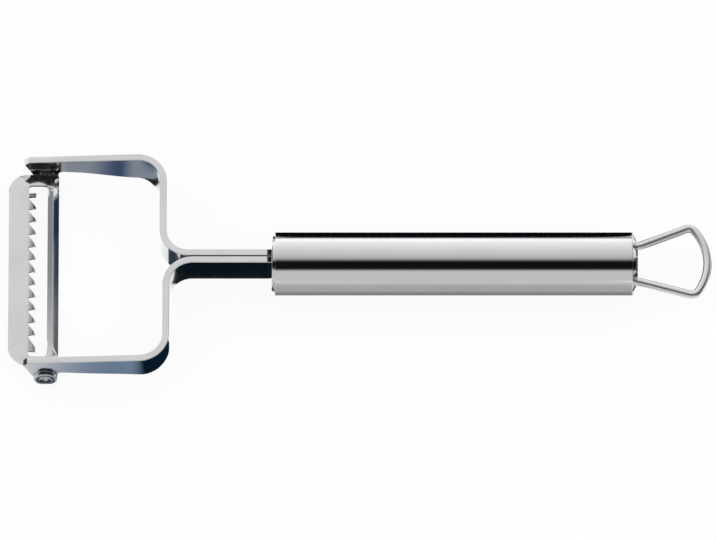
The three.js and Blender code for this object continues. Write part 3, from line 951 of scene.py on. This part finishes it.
class BladeLines:
    """Places of the blade's edges and folds, worked out once from the settings."""

    def __init__(self, s):
        self.s = s
        self.front = blade_low.x
        self.back = blade_high.x
        self.end = BLADE_HALF_LENGTH
        self.top = PIVOT.z + s.rise
        self.slot_half = self.end - s.bridge
        self.slot_front = self.front + s.toothed_bar
        self.slot_back = self.back - s.guide_bar
        self.slot_middle_x = (self.slot_front + self.slot_back) / 2
        self.ridge = self.back - s.ridge_from_edge

    def corner(self, y, radius):
        """How far a corner of that radius at the blade's end moves an edge in."""
        return corner_inset(abs(y) - (self.end - radius), radius)

    def from_slot(self, y):
        """Distance from the slot's nearer end: below zero along the slot, above zero on a bridge."""
        return abs(y + self.s.slot_shift) - self.slot_half

    def slot_inset(self, y):
        """How far the slot's corners move its long edges in."""
        return corner_inset(self.from_slot(y) + self.s.slot_corner, self.s.slot_corner)

    def fold(self, y):
        """Share of the guide bar's fold at y: all of it along the slot, none at the blade's ends."""
        s = self.s
        return ease(self.end - s.fold_end, self.end - s.fold_end - s.fold_run, abs(y))

    def end_drop(self, x, y):
        """How far the bridges sink towards the blade's ends, more at their sides than in their middle."""
        side = (x - self.slot_middle_x) / (self.slot_back - self.slot_middle_x)
        share_here = BRIDGE_MIDDLE + (1 - BRIDGE_MIDDLE) * min(side * side, BRIDGE_SIDE_MOST)
        reach = ease(self.slot_front - BRIDGE_FRONT_FADE[0], self.slot_front - BRIDGE_FRONT_FADE[1], x)
        reach *= ease(self.slot_back + BRIDGE_BACK_FADE[0], self.slot_back + BRIDGE_BACK_FADE[1], x)
        return reach * math.tan(self.s.end_slope) * share_here * max(self.from_slot(y) + BRIDGE_LEAD, 0.0)

    def bar_roll(self, x, y):
        """How far the toothed bar's edge is rolled down at the teeth's roots."""
        s = self.s
        along = clamp((x - self.slot_front) / s.root_run + 1.0)
        return s.root_roll * along * along * ease(0.0, -ROLL_FADE, self.from_slot(y))

    def rows(self):
        """Places along the blade, closer together where corners and the fold's ends need them."""
        s = self.s
        half = [i * self.slot_half / SLOT_ROWS for i in range(SLOT_ROWS + 1)]
        half += [self.end - s.fold_end - s.fold_run * i / FOLD_ROWS for i in range(FOLD_ROWS + 1)]
        half += [self.end - END_RUN * i / END_ROWS for i in range(END_ROWS + 1)]
        for radius, steps in ((s.front_corner, FRONT_CORNER_ROWS), (s.back_corner, BACK_CORNER_ROWS)):
            half += [self.end - radius * (1 - math.sin(QUARTER * i / steps)) for i in range(steps)]
        turns = [QUARTER * i / SLOT_CORNER_ROWS for i in range(SLOT_CORNER_ROWS + 1)]
        corner = [self.slot_half - s.slot_corner * (1 - math.sin(turn)) for turn in turns]
        fixed = [sign * y - s.slot_shift for y in corner for sign in (1, -1)] + [self.end, -self.end]
        rows = sorted(fixed)
        for y in [sign * y for y in half for sign in (1, -1)]:
            if all(abs(y - other) > LEAST_ROW for other in rows):
                rows.append(y)
        return sorted(rows)


def blade_section(lines, y):
    """Points (x, z) of the sheet's top across the blade at y."""
    s = lines.s
    inset = lines.slot_inset(y)
    front = lines.front + lines.corner(y, s.front_corner)
    back = lines.back - lines.corner(y, s.back_corner)
    slot_front = lines.slot_front + inset
    slot_back = lines.slot_back - inset
    fold = lines.fold(y)
    rise = s.ridge_height
    soft = s.ridge_soft
    front_slope = rise / (lines.ridge - lines.slot_back)
    back_slope = (rise + s.flange_drop) / (lines.back - lines.ridge)
    points = [(front + (slot_front - front) * t, 0.0) for t in BAR_COLUMNS]
    points += [(slot_front + (slot_back - slot_front) * t, 0.0) for t in GAP_COLUMNS]
    for t in FOLD_FRONT_COLUMNS:
        x = slot_back + t * (lines.ridge - soft - slot_back)
        points.append((x, fold * front_slope * max(x - lines.slot_back, 0.0)))
    start = Vector((lines.ridge - soft, rise - front_slope * soft))
    crest = Vector((lines.ridge, rise))
    end = Vector((lines.ridge + soft, rise - back_slope * soft))
    points += [(point.x, fold * point.y) for point in bend(start, crest, end, CREST_STEPS)]
    for t in FOLD_BACK_COLUMNS:
        x = lines.ridge + soft + t * (back - lines.ridge - soft)
        points.append((x, fold * (rise - back_slope * (x - lines.ridge))))
    return [(x, lines.top + z - lines.bar_roll(x, y) - lines.end_drop(x, y)) for x, z in points]


def blade_plate(context):
    """The stamped sheet: toothed bar, slot, folded guide bar and end bridges."""
    s = context.scene.peeler_blade
    lines = BladeLines(s)
    rows = lines.rows()
    sections = [blade_section(lines, y) for y in rows]
    count = len(sections[0])
    gap = range(SLOT_COLUMN, SLOT_COLUMN + len(GAP_COLUMNS) + 1)
    vertices = [Vector((x, y, z)) for y, section in zip(rows, sections) for x, z in section]
    faces = []
    for k in range(len(rows) - 1):
        open_row = max(lines.from_slot(rows[k]), lines.from_slot(rows[k + 1])) <= MERGE_DISTANCE
        for i in range(count - 1):
            if i in gap and open_row:
                continue
            a = k * count + i
            faces.append((a, a + 1, a + count + 1, a + count))
    plate = new_piece("stamped_blade", vertices, faces, blade_steel(context))
    build = bmesh.new()
    build.from_mesh(plate.data)
    loose = [vertex for vertex in build.verts if not vertex.link_faces]
    bmesh.ops.delete(build, geom=loose, context="VERTS")
    upward = sum(face.normal.z * face.calc_area() for face in build.faces)
    if upward < 0:
        bmesh.ops.reverse_faces(build, faces=build.faces)
    build.to_mesh(plate.data)
    build.free()
    wall = plate.modifiers.new("sheet", "SOLIDIFY")
    wall.thickness = s.sheet
    wall.offset = -1.0
    wall.use_even_offset = True
    return settle(plate)


def ear_mesh(lines, side):
    """A tab bent down from inside the blade's end round the pivot pin, as a skin across its width."""
    s = lines.s
    outer = lines.end
    outer_bend = s.ear_bend + s.sheet
    top = lines.top - EAR_SINK * s.sheet
    centre = (outer - outer_bend, top - outer_bend)
    route = [(outer - outer_bend - EAR_LAP, top, 0.0, 1.0), (centre[0], top, 0.0, 1.0)]
    for i in range(1, EAR_BEND_STEPS + 1):
        a = QUARTER * (1 - i / EAR_BEND_STEPS)
        way = (math.cos(a), math.sin(a))
        route.append((centre[0] + outer_bend * way[0], centre[1] + outer_bend * way[1], *way))
    route.append((outer, PIVOT.z, 1.0, 0.0))
    for i in range(1, EAR_ROUND_STEPS + 1):
        a = QUARTER * i / EAR_ROUND_STEPS
        route.append((outer, PIVOT.z - s.ear_radius * math.sin(a) * EAR_TIP, 1.0, 0.0))
    rings = []
    for y, z, ny, nz in route:
        below = clamp(PIVOT.z - z, s.ear_radius)
        half = max(math.sqrt(s.ear_radius ** 2 - below ** 2), EAR_TIP_HALF)
        left = PIVOT.x - half
        right = PIVOT.x + half
        deep_y = side * (y - ny * s.sheet)
        deep_z = z - nz * s.sheet
        rings.append([
            Vector((left, side * y, z)), Vector((right, side * y, z)),
            Vector((right, deep_y, deep_z)), Vector((left, deep_y, deep_z)),
        ])
    return skin(rings)


def tooth_mesh(s, root, tip, drop, curl=0.0):
    """One tooth from its root's near end: y ranges at root and tip, and how far and late the tip bends."""
    rings = []
    for i in range(-1, TOOTH_STEPS + 1):
        t = max(i, 0) / TOOTH_STEPS
        late = max(2 * t - 1, 0.0)
        x = s.tooth_reach * t if i >= 0 else -TOOTH_LAP
        z = -drop * ((1 - curl) * t + curl * late * late) if i >= 0 else -TOOTH_SINK
        low = z - s.sheet * (1 - TOOTH_THINNING * t) + (TOOTH_ROOT_RISE if i <= 0 else 0.0)
        near = root[0] + (tip[0] - root[0]) * t
        far = root[1] + (tip[1] - root[1]) * t
        rings.append([Vector((x, y, height)) for y, height in ((near, z), (far, z), (far, low), (near, low))])
    return skin(rings)


def toothed_blade_tree(material):
    """A tree that sets a row of like teeth on the blade."""
    tree, given = new_group(
        "Row of teeth",
        "GeometryNodeTree",
        [
            ("Geometry", "NodeSocketGeometry", None),
            ("Tooth", "NodeSocketObject", None),
            ("Count", "NodeSocketInt", 11),
            ("First root", "NodeSocketVector", (0.0, 0.0, 0.0)),
            ("Step", "NodeSocketVector", (0.0, -0.004, 0.0)),
        ],
        [("Geometry", "NodeSocketGeometry")],
    )
    row = add(
        tree, "GeometryNodeMeshLine",
        {"Count": given["Count"], "Start Location": given["First root"], "Offset": given["Step"]},
        mode="OFFSET",
    )
    tooth = add(tree, "GeometryNodeObjectInfo", {"Object": given["Tooth"]}, transform_space="ORIGINAL")
    spread = add(
        tree, "GeometryNodeInstanceOnPoints",
        {"Points": row.outputs["Mesh"], "Instance": tooth.outputs["Geometry"]},
    )
    both = add(tree, "GeometryNodeJoinGeometry", {"Geometry": given["Geometry"]})
    feed(tree, both, {"Geometry": spread.outputs["Instances"]})
    finish_tree(tree, both.outputs["Geometry"], material)
    return tree


def blade_piece(context):
    s = context.scene.peeler_blade
    lines = BladeLines(s)
    material = blade_steel(context)
    blade = blade_plate(context)
    root = Vector((lines.slot_front, s.first_root, lines.top - s.root_roll + TOOTH_LIFT))
    step = Vector((0.0, -s.pitch, 0.0))
    wide = s.tooth_root
    lean = s.tooth_lean
    heel = s.last_heel
    fin = tooth_mesh(s, (0.0, s.fin_width), (lean, s.fin_width + lean), FIN_DROP * s.tooth_drop)
    last = tooth_mesh(s, (-heel, wide), (LAST_LEAN * lean - heel, lean), LAST_DROP * s.tooth_drop)
    singles = [
        (ear_mesh(lines, 1), Vector()),
        (ear_mesh(lines, -1), Vector()),
        (fin, root + Vector((0.0, s.fin_gap + wide, 0.0))),
        (last, root + s.teeth * step),
    ]
    build = bmesh.new()
    build.from_mesh(blade.data)
    for (vertices, faces), place in singles:
        single = new_piece("single", [vertex + place for vertex in vertices], faces, material)
        build.from_mesh(single.data)
        bpy.data.objects.remove(single)
    build.to_mesh(blade.data)
    build.free()
    regular = tooth_mesh(s, (0.0, wide), (lean, lean + s.tooth_tip), s.tooth_drop, TOOTH_CURL)
    tooth = new_piece("tooth", *regular, material)
    row = blade.modifiers.new("teeth", "NODES")
    row.node_group = toothed_blade_tree(material)
    set_inputs(row, {"Tooth": tooth, "Count": s.teeth, "First root": root, "Step": step})
    settle(blade)
    bpy.data.objects.remove(tooth)
    soften = blade.modifiers.new("edges", "BEVEL")
    soften.width = s.edge
    soften.segments = SOFT_SEGMENTS
    soften.limit_method = "ANGLE"
    soften.angle_limit = math.radians(SOFT_FROM_DEGREES)
    soften.use_clamp_overlap = True
    settle(blade)
    return smooth(blade, BLADE_SHARP_DEGREES)


class PEELER_OT_blade(bpy.types.Operator):
    """Build the stamped blade with its slot, fold, ears and row of teeth"""
    bl_idname = "peeler.blade"
    bl_label = "Blade"

    def execute(self, context):
        hand_over(blade_piece(context), "blade", "julienne_blade")
        return {"FINISHED"}


# Wire loop

WIRE_SIDES = 32
WIRE_SHARP_DEGREES = 50.0
SPLAY_STEPS = 8
CORNER_STEPS = 14
END_STEPS = 16
# Length behind the cap over which the loop's turn grows
TURN_RUN = 6 * MM


def loop_route(s):
    """Plan points (x, y) along the middle of the wire: in one hole, round the loop and back in the other."""
    face = rear_high.x
    splay_y = s.root_spread + s.splay_radius
    leg = Vector((face + s.splay_radius * math.sin(s.splay), splay_y - s.splay_radius * math.cos(s.splay)))
    along = Vector((math.cos(s.splay), math.sin(s.splay)))
    inward = Vector((math.sin(s.splay), -math.cos(s.splay)))
    end_x = loop_high.x - s.wire - s.end_radius
    start = leg + s.corner_radius * inward - Vector((end_x, 0.0))
    span = s.end_radius - s.corner_radius
    run = -start.dot(along) + math.sqrt(start.dot(along) ** 2 - start.length_squared + span ** 2)
    corner = start + run * along
    end_angle = math.atan2(corner.y, corner.x)
    half = [(loop_low.x, s.root_spread)]
    half += arc((face, splay_y), s.splay_radius, -QUARTER, s.splay - QUARTER, SPLAY_STEPS)
    half += arc((end_x + corner.x, corner.y), s.corner_radius, s.splay + QUARTER, end_angle, CORNER_STEPS)
    half += arc((end_x, 0.0), s.end_radius, end_angle, 0.0, END_STEPS)[1:]
    route = []
    for x, y in half + [(x, -y) for x, y in reversed(half[:-1])]:
        turn = s.turn * ease(face, face + TURN_RUN, x)
        route.append((x - y * math.sin(turn), y + (x - face) * math.sin(turn)))
    return route


def wire_tree(material):
    """A tree that sweeps a round wire along a route."""
    tree, given = new_group(
        "Round wire",
        "GeometryNodeTree",
        [
            ("Geometry", "NodeSocketGeometry", None),
            ("Radius", "NodeSocketFloat", 0.0012),
            ("Sides", "NodeSocketInt", WIRE_SIDES),
        ],
        [("Geometry", "NodeSocketGeometry")],
    )
    section = add(
        tree, "GeometryNodeCurvePrimitiveCircle", {"Radius": given["Radius"], "Resolution": given["Sides"]},
        mode="RADIUS",
    )
    sweep = add(
        tree, "GeometryNodeCurveToMesh",
        {"Curve": given["Geometry"], "Profile Curve": section.outputs["Curve"], "Fill Caps": True},
    )
    finish_tree(tree, sweep.outputs["Mesh"], material)
    return tree


def loop_piece(context):
    s = context.scene.peeler_loop
    points = loop_route(s)
    data = bpy.data.curves.new("loop route", "CURVE")
    data.dimensions = "3D"
    spline = data.splines.new("POLY")
    spline.points.add(len(points) - 1)
    for point, (x, y) in zip(spline.points, points):
        point.co = (x, y, AXIS_Z, 1.0)
    route = new_object("loop route", data)
    sweep = route.modifiers.new("wire", "NODES")
    sweep.node_group = wire_tree(wire_steel(context))
    set_inputs(sweep, {"Radius": s.wire, "Sides": WIRE_SIDES})
    graph = context.evaluated_depsgraph_get()
    mesh = bpy.data.meshes.new_from_object(route.evaluated_get(graph))
    bpy.data.objects.remove(route)
    mesh.name = "wire_loop"
    return smooth(new_object("wire_loop", mesh), WIRE_SHARP_DEGREES)


class PEELER_OT_loop(bpy.types.Operator):
    """Sweep the hanging loop's wire along its route"""
    bl_idname = "peeler.loop"
    bl_label = "Hanging loop"

    def execute(self, context):
        hand_over(loop_piece(context), "handle", "hanging_loop")
        return {"FINISHED"}


# Stage

PICTURE_WIDTH = 716
SENSOR_WIDTH = 36.0

# What the steel mirrors over the tool, from the camera's side over the top to the far side:
# (angle up from the near horizon, brightness)
STUDIO_BANDS = (
    (0, 0.78), (36, 0.78), (41, 0.52), (45, 0.09), (49, 0.008), (70, 0.004), (74, 0.03), (78, 0.18),
    (82, 0.42), (86, 0.6), (92, 0.7), (100, 0.8), (108, 0.87), (116, 0.93), (124, 1.0), (132, 1.08),
    (141, 1.16), (151, 1.29), (161, 1.43), (168, 1.55), (173, 0.9), (178, 0.15), (180, 0.01),
)
STUDIO_PEAK = 1.55

# The studio dims towards the loop's side: from and to which share of the way to +X, and down to what level
DIM_SIDE = (0.2, 0.95)
DIM_LEVEL = 0.1

# Dark cards that only the steel mirrors, flat on the floor and flat over the tool: painted reflections of the
# floor's shade
# under and round the tool and of dark surroundings, each placed to darken what one part mirrors. Sizes in
# millimetres:
# name, tint, darkness, x range, y range, soft edges (low x, high x, low y, high y), height of the upper ones
BLACK = (0.003, 0.004, 0.006)
DEEP_NAVY = (0.004, 0.018, 0.045)
MIDNIGHT = (0.003, 0.013, 0.027)
NAVY = (0.004, 0.028, 0.07)
INK = (0.003, 0.008, 0.013)
INDIGO = (0.019, 0.06, 0.158)
STEEL_BLUE = (0.1, 0.19, 0.32)
SLATE = (0.07, 0.12, 0.2)
SMOKE = (0.05, 0.055, 0.08)
FLOOR_CARDS = (
    ("behind_handle", BLACK, 1.0, (-25.2, 79), (11, 3900), (0.3, 0.3, 1, 1)),
    ("before_handle_far", BLACK, 0.3, (-25.4, 79), (-3900, -5), (0.3, 0.3, 1, 1)),
    ("before_handle", BLACK, 0.3, (-25.4, 79), (-80, -5), (0.3, 0.3, 60, 1)),
    ("under_handle", BLACK, 0.5, (-25.4, 79), (-18, -5), (0.3, 0.3, 9, 1)),
    ("under_shank", INK, 1.0, (-51, -25.2), (-16, -3.3), (0.5, 0.4, 2, 0.3)),
    ("crotch", DEEP_NAVY, 0.97, (-62, -53.6), (-4, 2.9), (1, 0.6, 1, 0.4)),
    ("near_arm", STEEL_BLUE, 0.9, (-112, -55), (-48, -29), (40, 2, 2, 1)),
    ("near_corner", MIDNIGHT, 1.0, (-66, -44), (-48, -20), (6, 2, 2, 1)),
    ("far_arm", SLATE, 0.77, (-93, -60.6), (15, 28.9), (10, 0.5, 2, 0.3)),
    ("far_arm_middle", INDIGO, 0.88, (-80, -64.4), (15, 28.9), (11, 5, 2, 0.3)),
    ("far_corner", BLACK, 0.95, (-63.6, -60.6), (24, 28.9), (0.6, 0.4, 1, 0.3)),
    ("far_eye", BLACK, 1.0, (-106, -85.4), (18, 32), (2, 0.6, 2, 1)),
    ("teeth", BLACK, 0.9, (-96, -91.5), (-31, 28), (1, 1, 2, 2)),
    ("near_dish", BLACK, 0.9, (-92.6, -87), (-35.3, -33.4), (0.5, 0.5, 0.4, 0.2)),
    ("near_crescent", BLACK, 0.85, (-89.5, -85.2), (-34.3, -32.5), (0.5, 0.8, 0.3, 0.4)),
    ("near_beak", BLACK, 0.95, (-150, -110), (-40, 15), (4, 4, 4, 4)),
    ("rear_cap", BLACK, 1.0, (94, 113), (-1.6, 6.2), (1, 1, 0.4, 0.4)),
    ("rear_cap_low", SMOKE, 0.5, (83, 101), (-10, 0.9), (1, 1, 1, 0.3)),
    ("rear_rim", BLACK, 0.92, (84, 98.5), (0, 8), (1, 1, 0.4, 0.4)),
    ("rear_rim_far", BLACK, 0.92, (84, 94), (8, 13), (1, 1, 0.4, 1)),
    ("rear_cap_high", SMOKE, 0.25, (95, 108), (6.4, 18), (1, 1, 0.4, 1)),
    ("rear_rim_near", BLACK, 0.92, (84, 92), (-3.2, 0), (1, 1, 0.4, 0.4)),
    ("rear_edge_far", BLACK, 0.95, (80.2, 84.8), (10.2, 15), (0.3, 1.5, 0.5, 0.8)),
    ("rear_edge_near", BLACK, 0.95, (80.2, 83.6), (-7, -2.2), (0.3, 1.2, 0.8, 0.5)),
)
HIGH_CARDS = (
    ("guide_flange", SMOKE, 0.9, (-86, -78), (-30, 25.5), (0.5, 3, 0.5, 0.5), 2.5),
    ("guide_flange_far", NAVY, 0.78, (-86, -78), (-14, 25.5), (0.5, 3, 20, 0.5), 2.6),
    ("strip_ends", BLACK, 1.0, (-26.8, -24.9), (-2.6, 3.6), (0.5, 0.2, 0.3, 0.3), 17.5),
    ("guide_band", NAVY, 0.7, (-165, -125), (-4, 80), (8, 8, 56, 4), 82),
)
CARD_HEIGHT = 0.4 * MM
CARD_STEP = 0.02 * MM
FLOOR_RANGE = (-4.0, 4.0)


def plane(name, xs, ys, z, material):
    """A rectangle on the stage, at the origin unturned."""
    corners = [(xs[0], ys[0], z), (xs[1], ys[0], z), (xs[1], ys[1], z), (xs[0], ys[1], z)]
    mesh = bpy.data.meshes.new(name)
    mesh.from_pydata(corners, [], [(0, 1, 2, 3)])
    mesh.materials.append(material)
    piece = new_object(name, mesh)
    return piece


def end_with_mix(tree, kind, amount, first, second):
    """Ends a material's or world's tree with a mix of two shaders."""
    mix = add(tree, "ShaderNodeMixShader", {"Fac": amount, 1: first, 2: second})
    add(tree, kind, {"Surface": mix.outputs["Shader"]})


def floor_material(s):
    """A pale floor that stays white to the eye and in the steel, with a faint shadow."""
    material = bpy.data.materials.new("pale floor")
    tree = bare_tree(material)
    rays = add(tree, "ShaderNodeLightPath").outputs
    paint = add(tree, "ShaderNodeBsdfDiffuse", {"Color": (*s.floor, 1.0)})
    gain = add(
        tree, "ShaderNodeMapRange", {"Value": rays["Is Glossy Ray"], "To Min": 1.0, "To Max": s.floor_gain}
    )
    white = add(tree, "ShaderNodeEmission", {"Strength": gain.outputs["Result"]})
    seen = reckon(tree, "ADD", rays["Is Camera Ray"], rays["Is Glossy Ray"])
    any_ray = reckon(tree, "ADD", seen, rays["Is Transmission Ray"], use_clamp=True)
    amount = reckon(tree, "MULTIPLY", any_ray, s.whiteness)
    end_with_mix(tree, "ShaderNodeOutputMaterial", amount, paint.outputs["BSDF"], white.outputs["Emission"])
    return material


def card_material(name, tint, darkness, xs, ys, soft):
    """A dark card, a painted reflection of shade, that fades out towards its edges."""
    material = bpy.data.materials.new(name)
    tree = bare_tree(material)
    place = add(tree, "ShaderNodeTexCoord").outputs["Object"]
    split = add(tree, "ShaderNodeSeparateXYZ", {"Vector": place}).outputs
    amount = darkness
    edges = (("X", xs[0], soft[0]), ("X", xs[1], -soft[1]), ("Y", ys[0], soft[2]), ("Y", ys[1], -soft[3]))
    for axis, edge, run in edges:
        fade = add(
            tree,
            "ShaderNodeMapRange",
            {
                "Value": split[axis],
                "From Min": min(edge, edge + run) * MM,
                "From Max": max(edge, edge + run) * MM,
                "To Min": 0.0 if run > 0 else 1.0,
                "To Max": 1.0 if run > 0 else 0.0,
            },
            interpolation_type="SMOOTHSTEP",
        )
        amount = reckon(tree, "MULTIPLY", amount, fade.outputs["Result"])
    clear = add(tree, "ShaderNodeBsdfTransparent").outputs["BSDF"]
    dark = add(tree, "ShaderNodeEmission", {"Color": (*tint, 1.0)}).outputs["Emission"]
    end_with_mix(tree, "ShaderNodeOutputMaterial", amount, clear, dark)
    return material


def dark_card(name, tint, darkness, xs, ys, soft, z):
    """A card that only mirrors see, painting a dark reflection of shade."""
    material = card_material(f"card {name}", tint, darkness, xs, ys, soft)
    card = plane(f"card_{name}", [x * MM for x in xs], [y * MM for y in ys], z, material)
    card.visible_camera = False
    card.visible_diffuse = False
    card.visible_shadow = False


def studio_world():
    """Even white light, with the studio's light and dark bands where steel mirrors it."""
    world = bpy.data.worlds.new("studio")
    tree = bare_tree(world)
    place = add(tree, "ShaderNodeTexCoord").outputs["Generated"]
    split = add(tree, "ShaderNodeSeparateXYZ", {"Vector": place}).outputs
    near = reckon(tree, "MULTIPLY", split["Y"], -1.0)
    over = reckon(tree, "ARCTAN2", split["Z"], near)
    bands = add(tree, "ShaderNodeValToRGB", {"Fac": reckon(tree, "DIVIDE", over, math.pi)})
    ramp = bands.color_ramp
    while len(ramp.elements) > 1:
        ramp.elements.remove(ramp.elements[0])
    for i, (degrees, level) in enumerate(STUDIO_BANDS):
        stop = ramp.elements[0] if i == 0 else ramp.elements.new(degrees / 180)
        stop.position = degrees / 180
        stop.color = (*[level / STUDIO_PEAK] * 3, 1.0)
    dim = add(
        tree,
        "ShaderNodeMapRange",
        {
            "Value": split["X"],
            "From Min": DIM_SIDE[0],
            "From Max": DIM_SIDE[1],
            "To Min": STUDIO_PEAK,
            "To Max": STUDIO_PEAK * DIM_LEVEL,
        },
        interpolation_type="SMOOTHSTEP",
    )
    studio = add(
        tree, "ShaderNodeBackground", {"Color": bands.outputs["Color"], "Strength": dim.outputs["Result"]}
    ).outputs["Background"]
    white = add(tree, "ShaderNodeBackground", {"Color": (1.0, 1.0, 1.0, 1.0)}).outputs["Background"]
    glossy = add(tree, "ShaderNodeLightPath").outputs["Is Glossy Ray"]
    end_with_mix(tree, "ShaderNodeOutputWorld", glossy, white, studio)
    return world


def studio_camera(s):
    data = bpy.data.cameras.new("camera")
    data.sensor_width = SENSOR_WIDTH
    data.lens = SENSOR_WIDTH * s.distance * s.pixels_per_metre / PICTURE_WIDTH
    data.clip_end = 4 * s.distance
    camera = new_object("camera", data)
    towards = Vector((0.0, -math.cos(s.elevation), math.sin(s.elevation)))
    upward = Vector((0.0, math.sin(s.elevation), math.cos(s.elevation)))
    target = Vector((s.across, 0.0, AXIS_Z)) + s.up * upward
    camera.matrix_world = Matrix.Translation(target + s.distance * towards) @ Matrix.Rotation(
        QUARTER - s.elevation, 4, "X"
    )
    return camera


class PEELER_OT_stage(bpy.types.Operator):
    """Set the floor, the studio's light and cards, and the camera"""
    bl_idname = "peeler.stage"
    bl_label = "Stage"

    def execute(self, context):
        s = context.scene.peeler_stage
        plane("floor", FLOOR_RANGE, FLOOR_RANGE, 0.0, floor_material(s))
        for i, row in enumerate(FLOOR_CARDS):
            dark_card(*row, CARD_HEIGHT + i * CARD_STEP)
        for *row, height in HIGH_CARDS:
            dark_card(*row, height * MM)
        context.scene.world = studio_world()
        context.scene.camera = studio_camera(s)
        context.scene.view_settings.view_transform = "Standard"
        return {"FINISHED"}


# Panel and registration

class PEELER_PT_build(bpy.types.Panel):
    """Lists the operators that build the peeler"""
    bl_idname = "PEELER_PT_build"
    bl_label = "Julienne Peeler"
    bl_space_type = "VIEW_3D"
    bl_region_type = "UI"
    bl_category = "Peeler"

    def draw(self, context):
        column = self.layout.column(align=True)
        for operator in OPERATORS:
            column.operator(operator.bl_idname)


SETTINGS = {
    "peeler_handle": PeelerHandleSettings,
    "peeler_arm": PeelerArmSettings,
    "peeler_pivot": PeelerPivotSettings,
    "peeler_blade": PeelerBladeSettings,
    "peeler_loop": PeelerLoopSettings,
    "peeler_finish": PeelerFinishSettings,
    "peeler_stage": PeelerStageSettings,
}
OPERATORS = (
    PEELER_OT_handle, PEELER_OT_arms, PEELER_OT_pivots, PEELER_OT_blade, PEELER_OT_loop, PEELER_OT_stage,
)


def register():
    for name, settings in SETTINGS.items():
        bpy.utils.register_class(settings)
        setattr(bpy.types.Scene, name, bpy.props.PointerProperty(type=settings))
    for operator in OPERATORS:
        bpy.utils.register_class(operator)
    bpy.utils.register_class(PEELER_PT_build)


def unregister():
    bpy.utils.unregister_class(PEELER_PT_build)
    for operator in reversed(OPERATORS):
        bpy.utils.unregister_class(operator)
    for name, settings in reversed(SETTINGS.items()):
        delattr(bpy.types.Scene, name)
        bpy.utils.unregister_class(settings)


def main():
    register()
    bpy.ops.peeler.handle()
    bpy.ops.peeler.arms()
    bpy.ops.peeler.pivots()
    bpy.ops.peeler.blade()
    bpy.ops.peeler.loop()
    bpy.ops.peeler.stage()


if __name__ == "__main__":
    main()
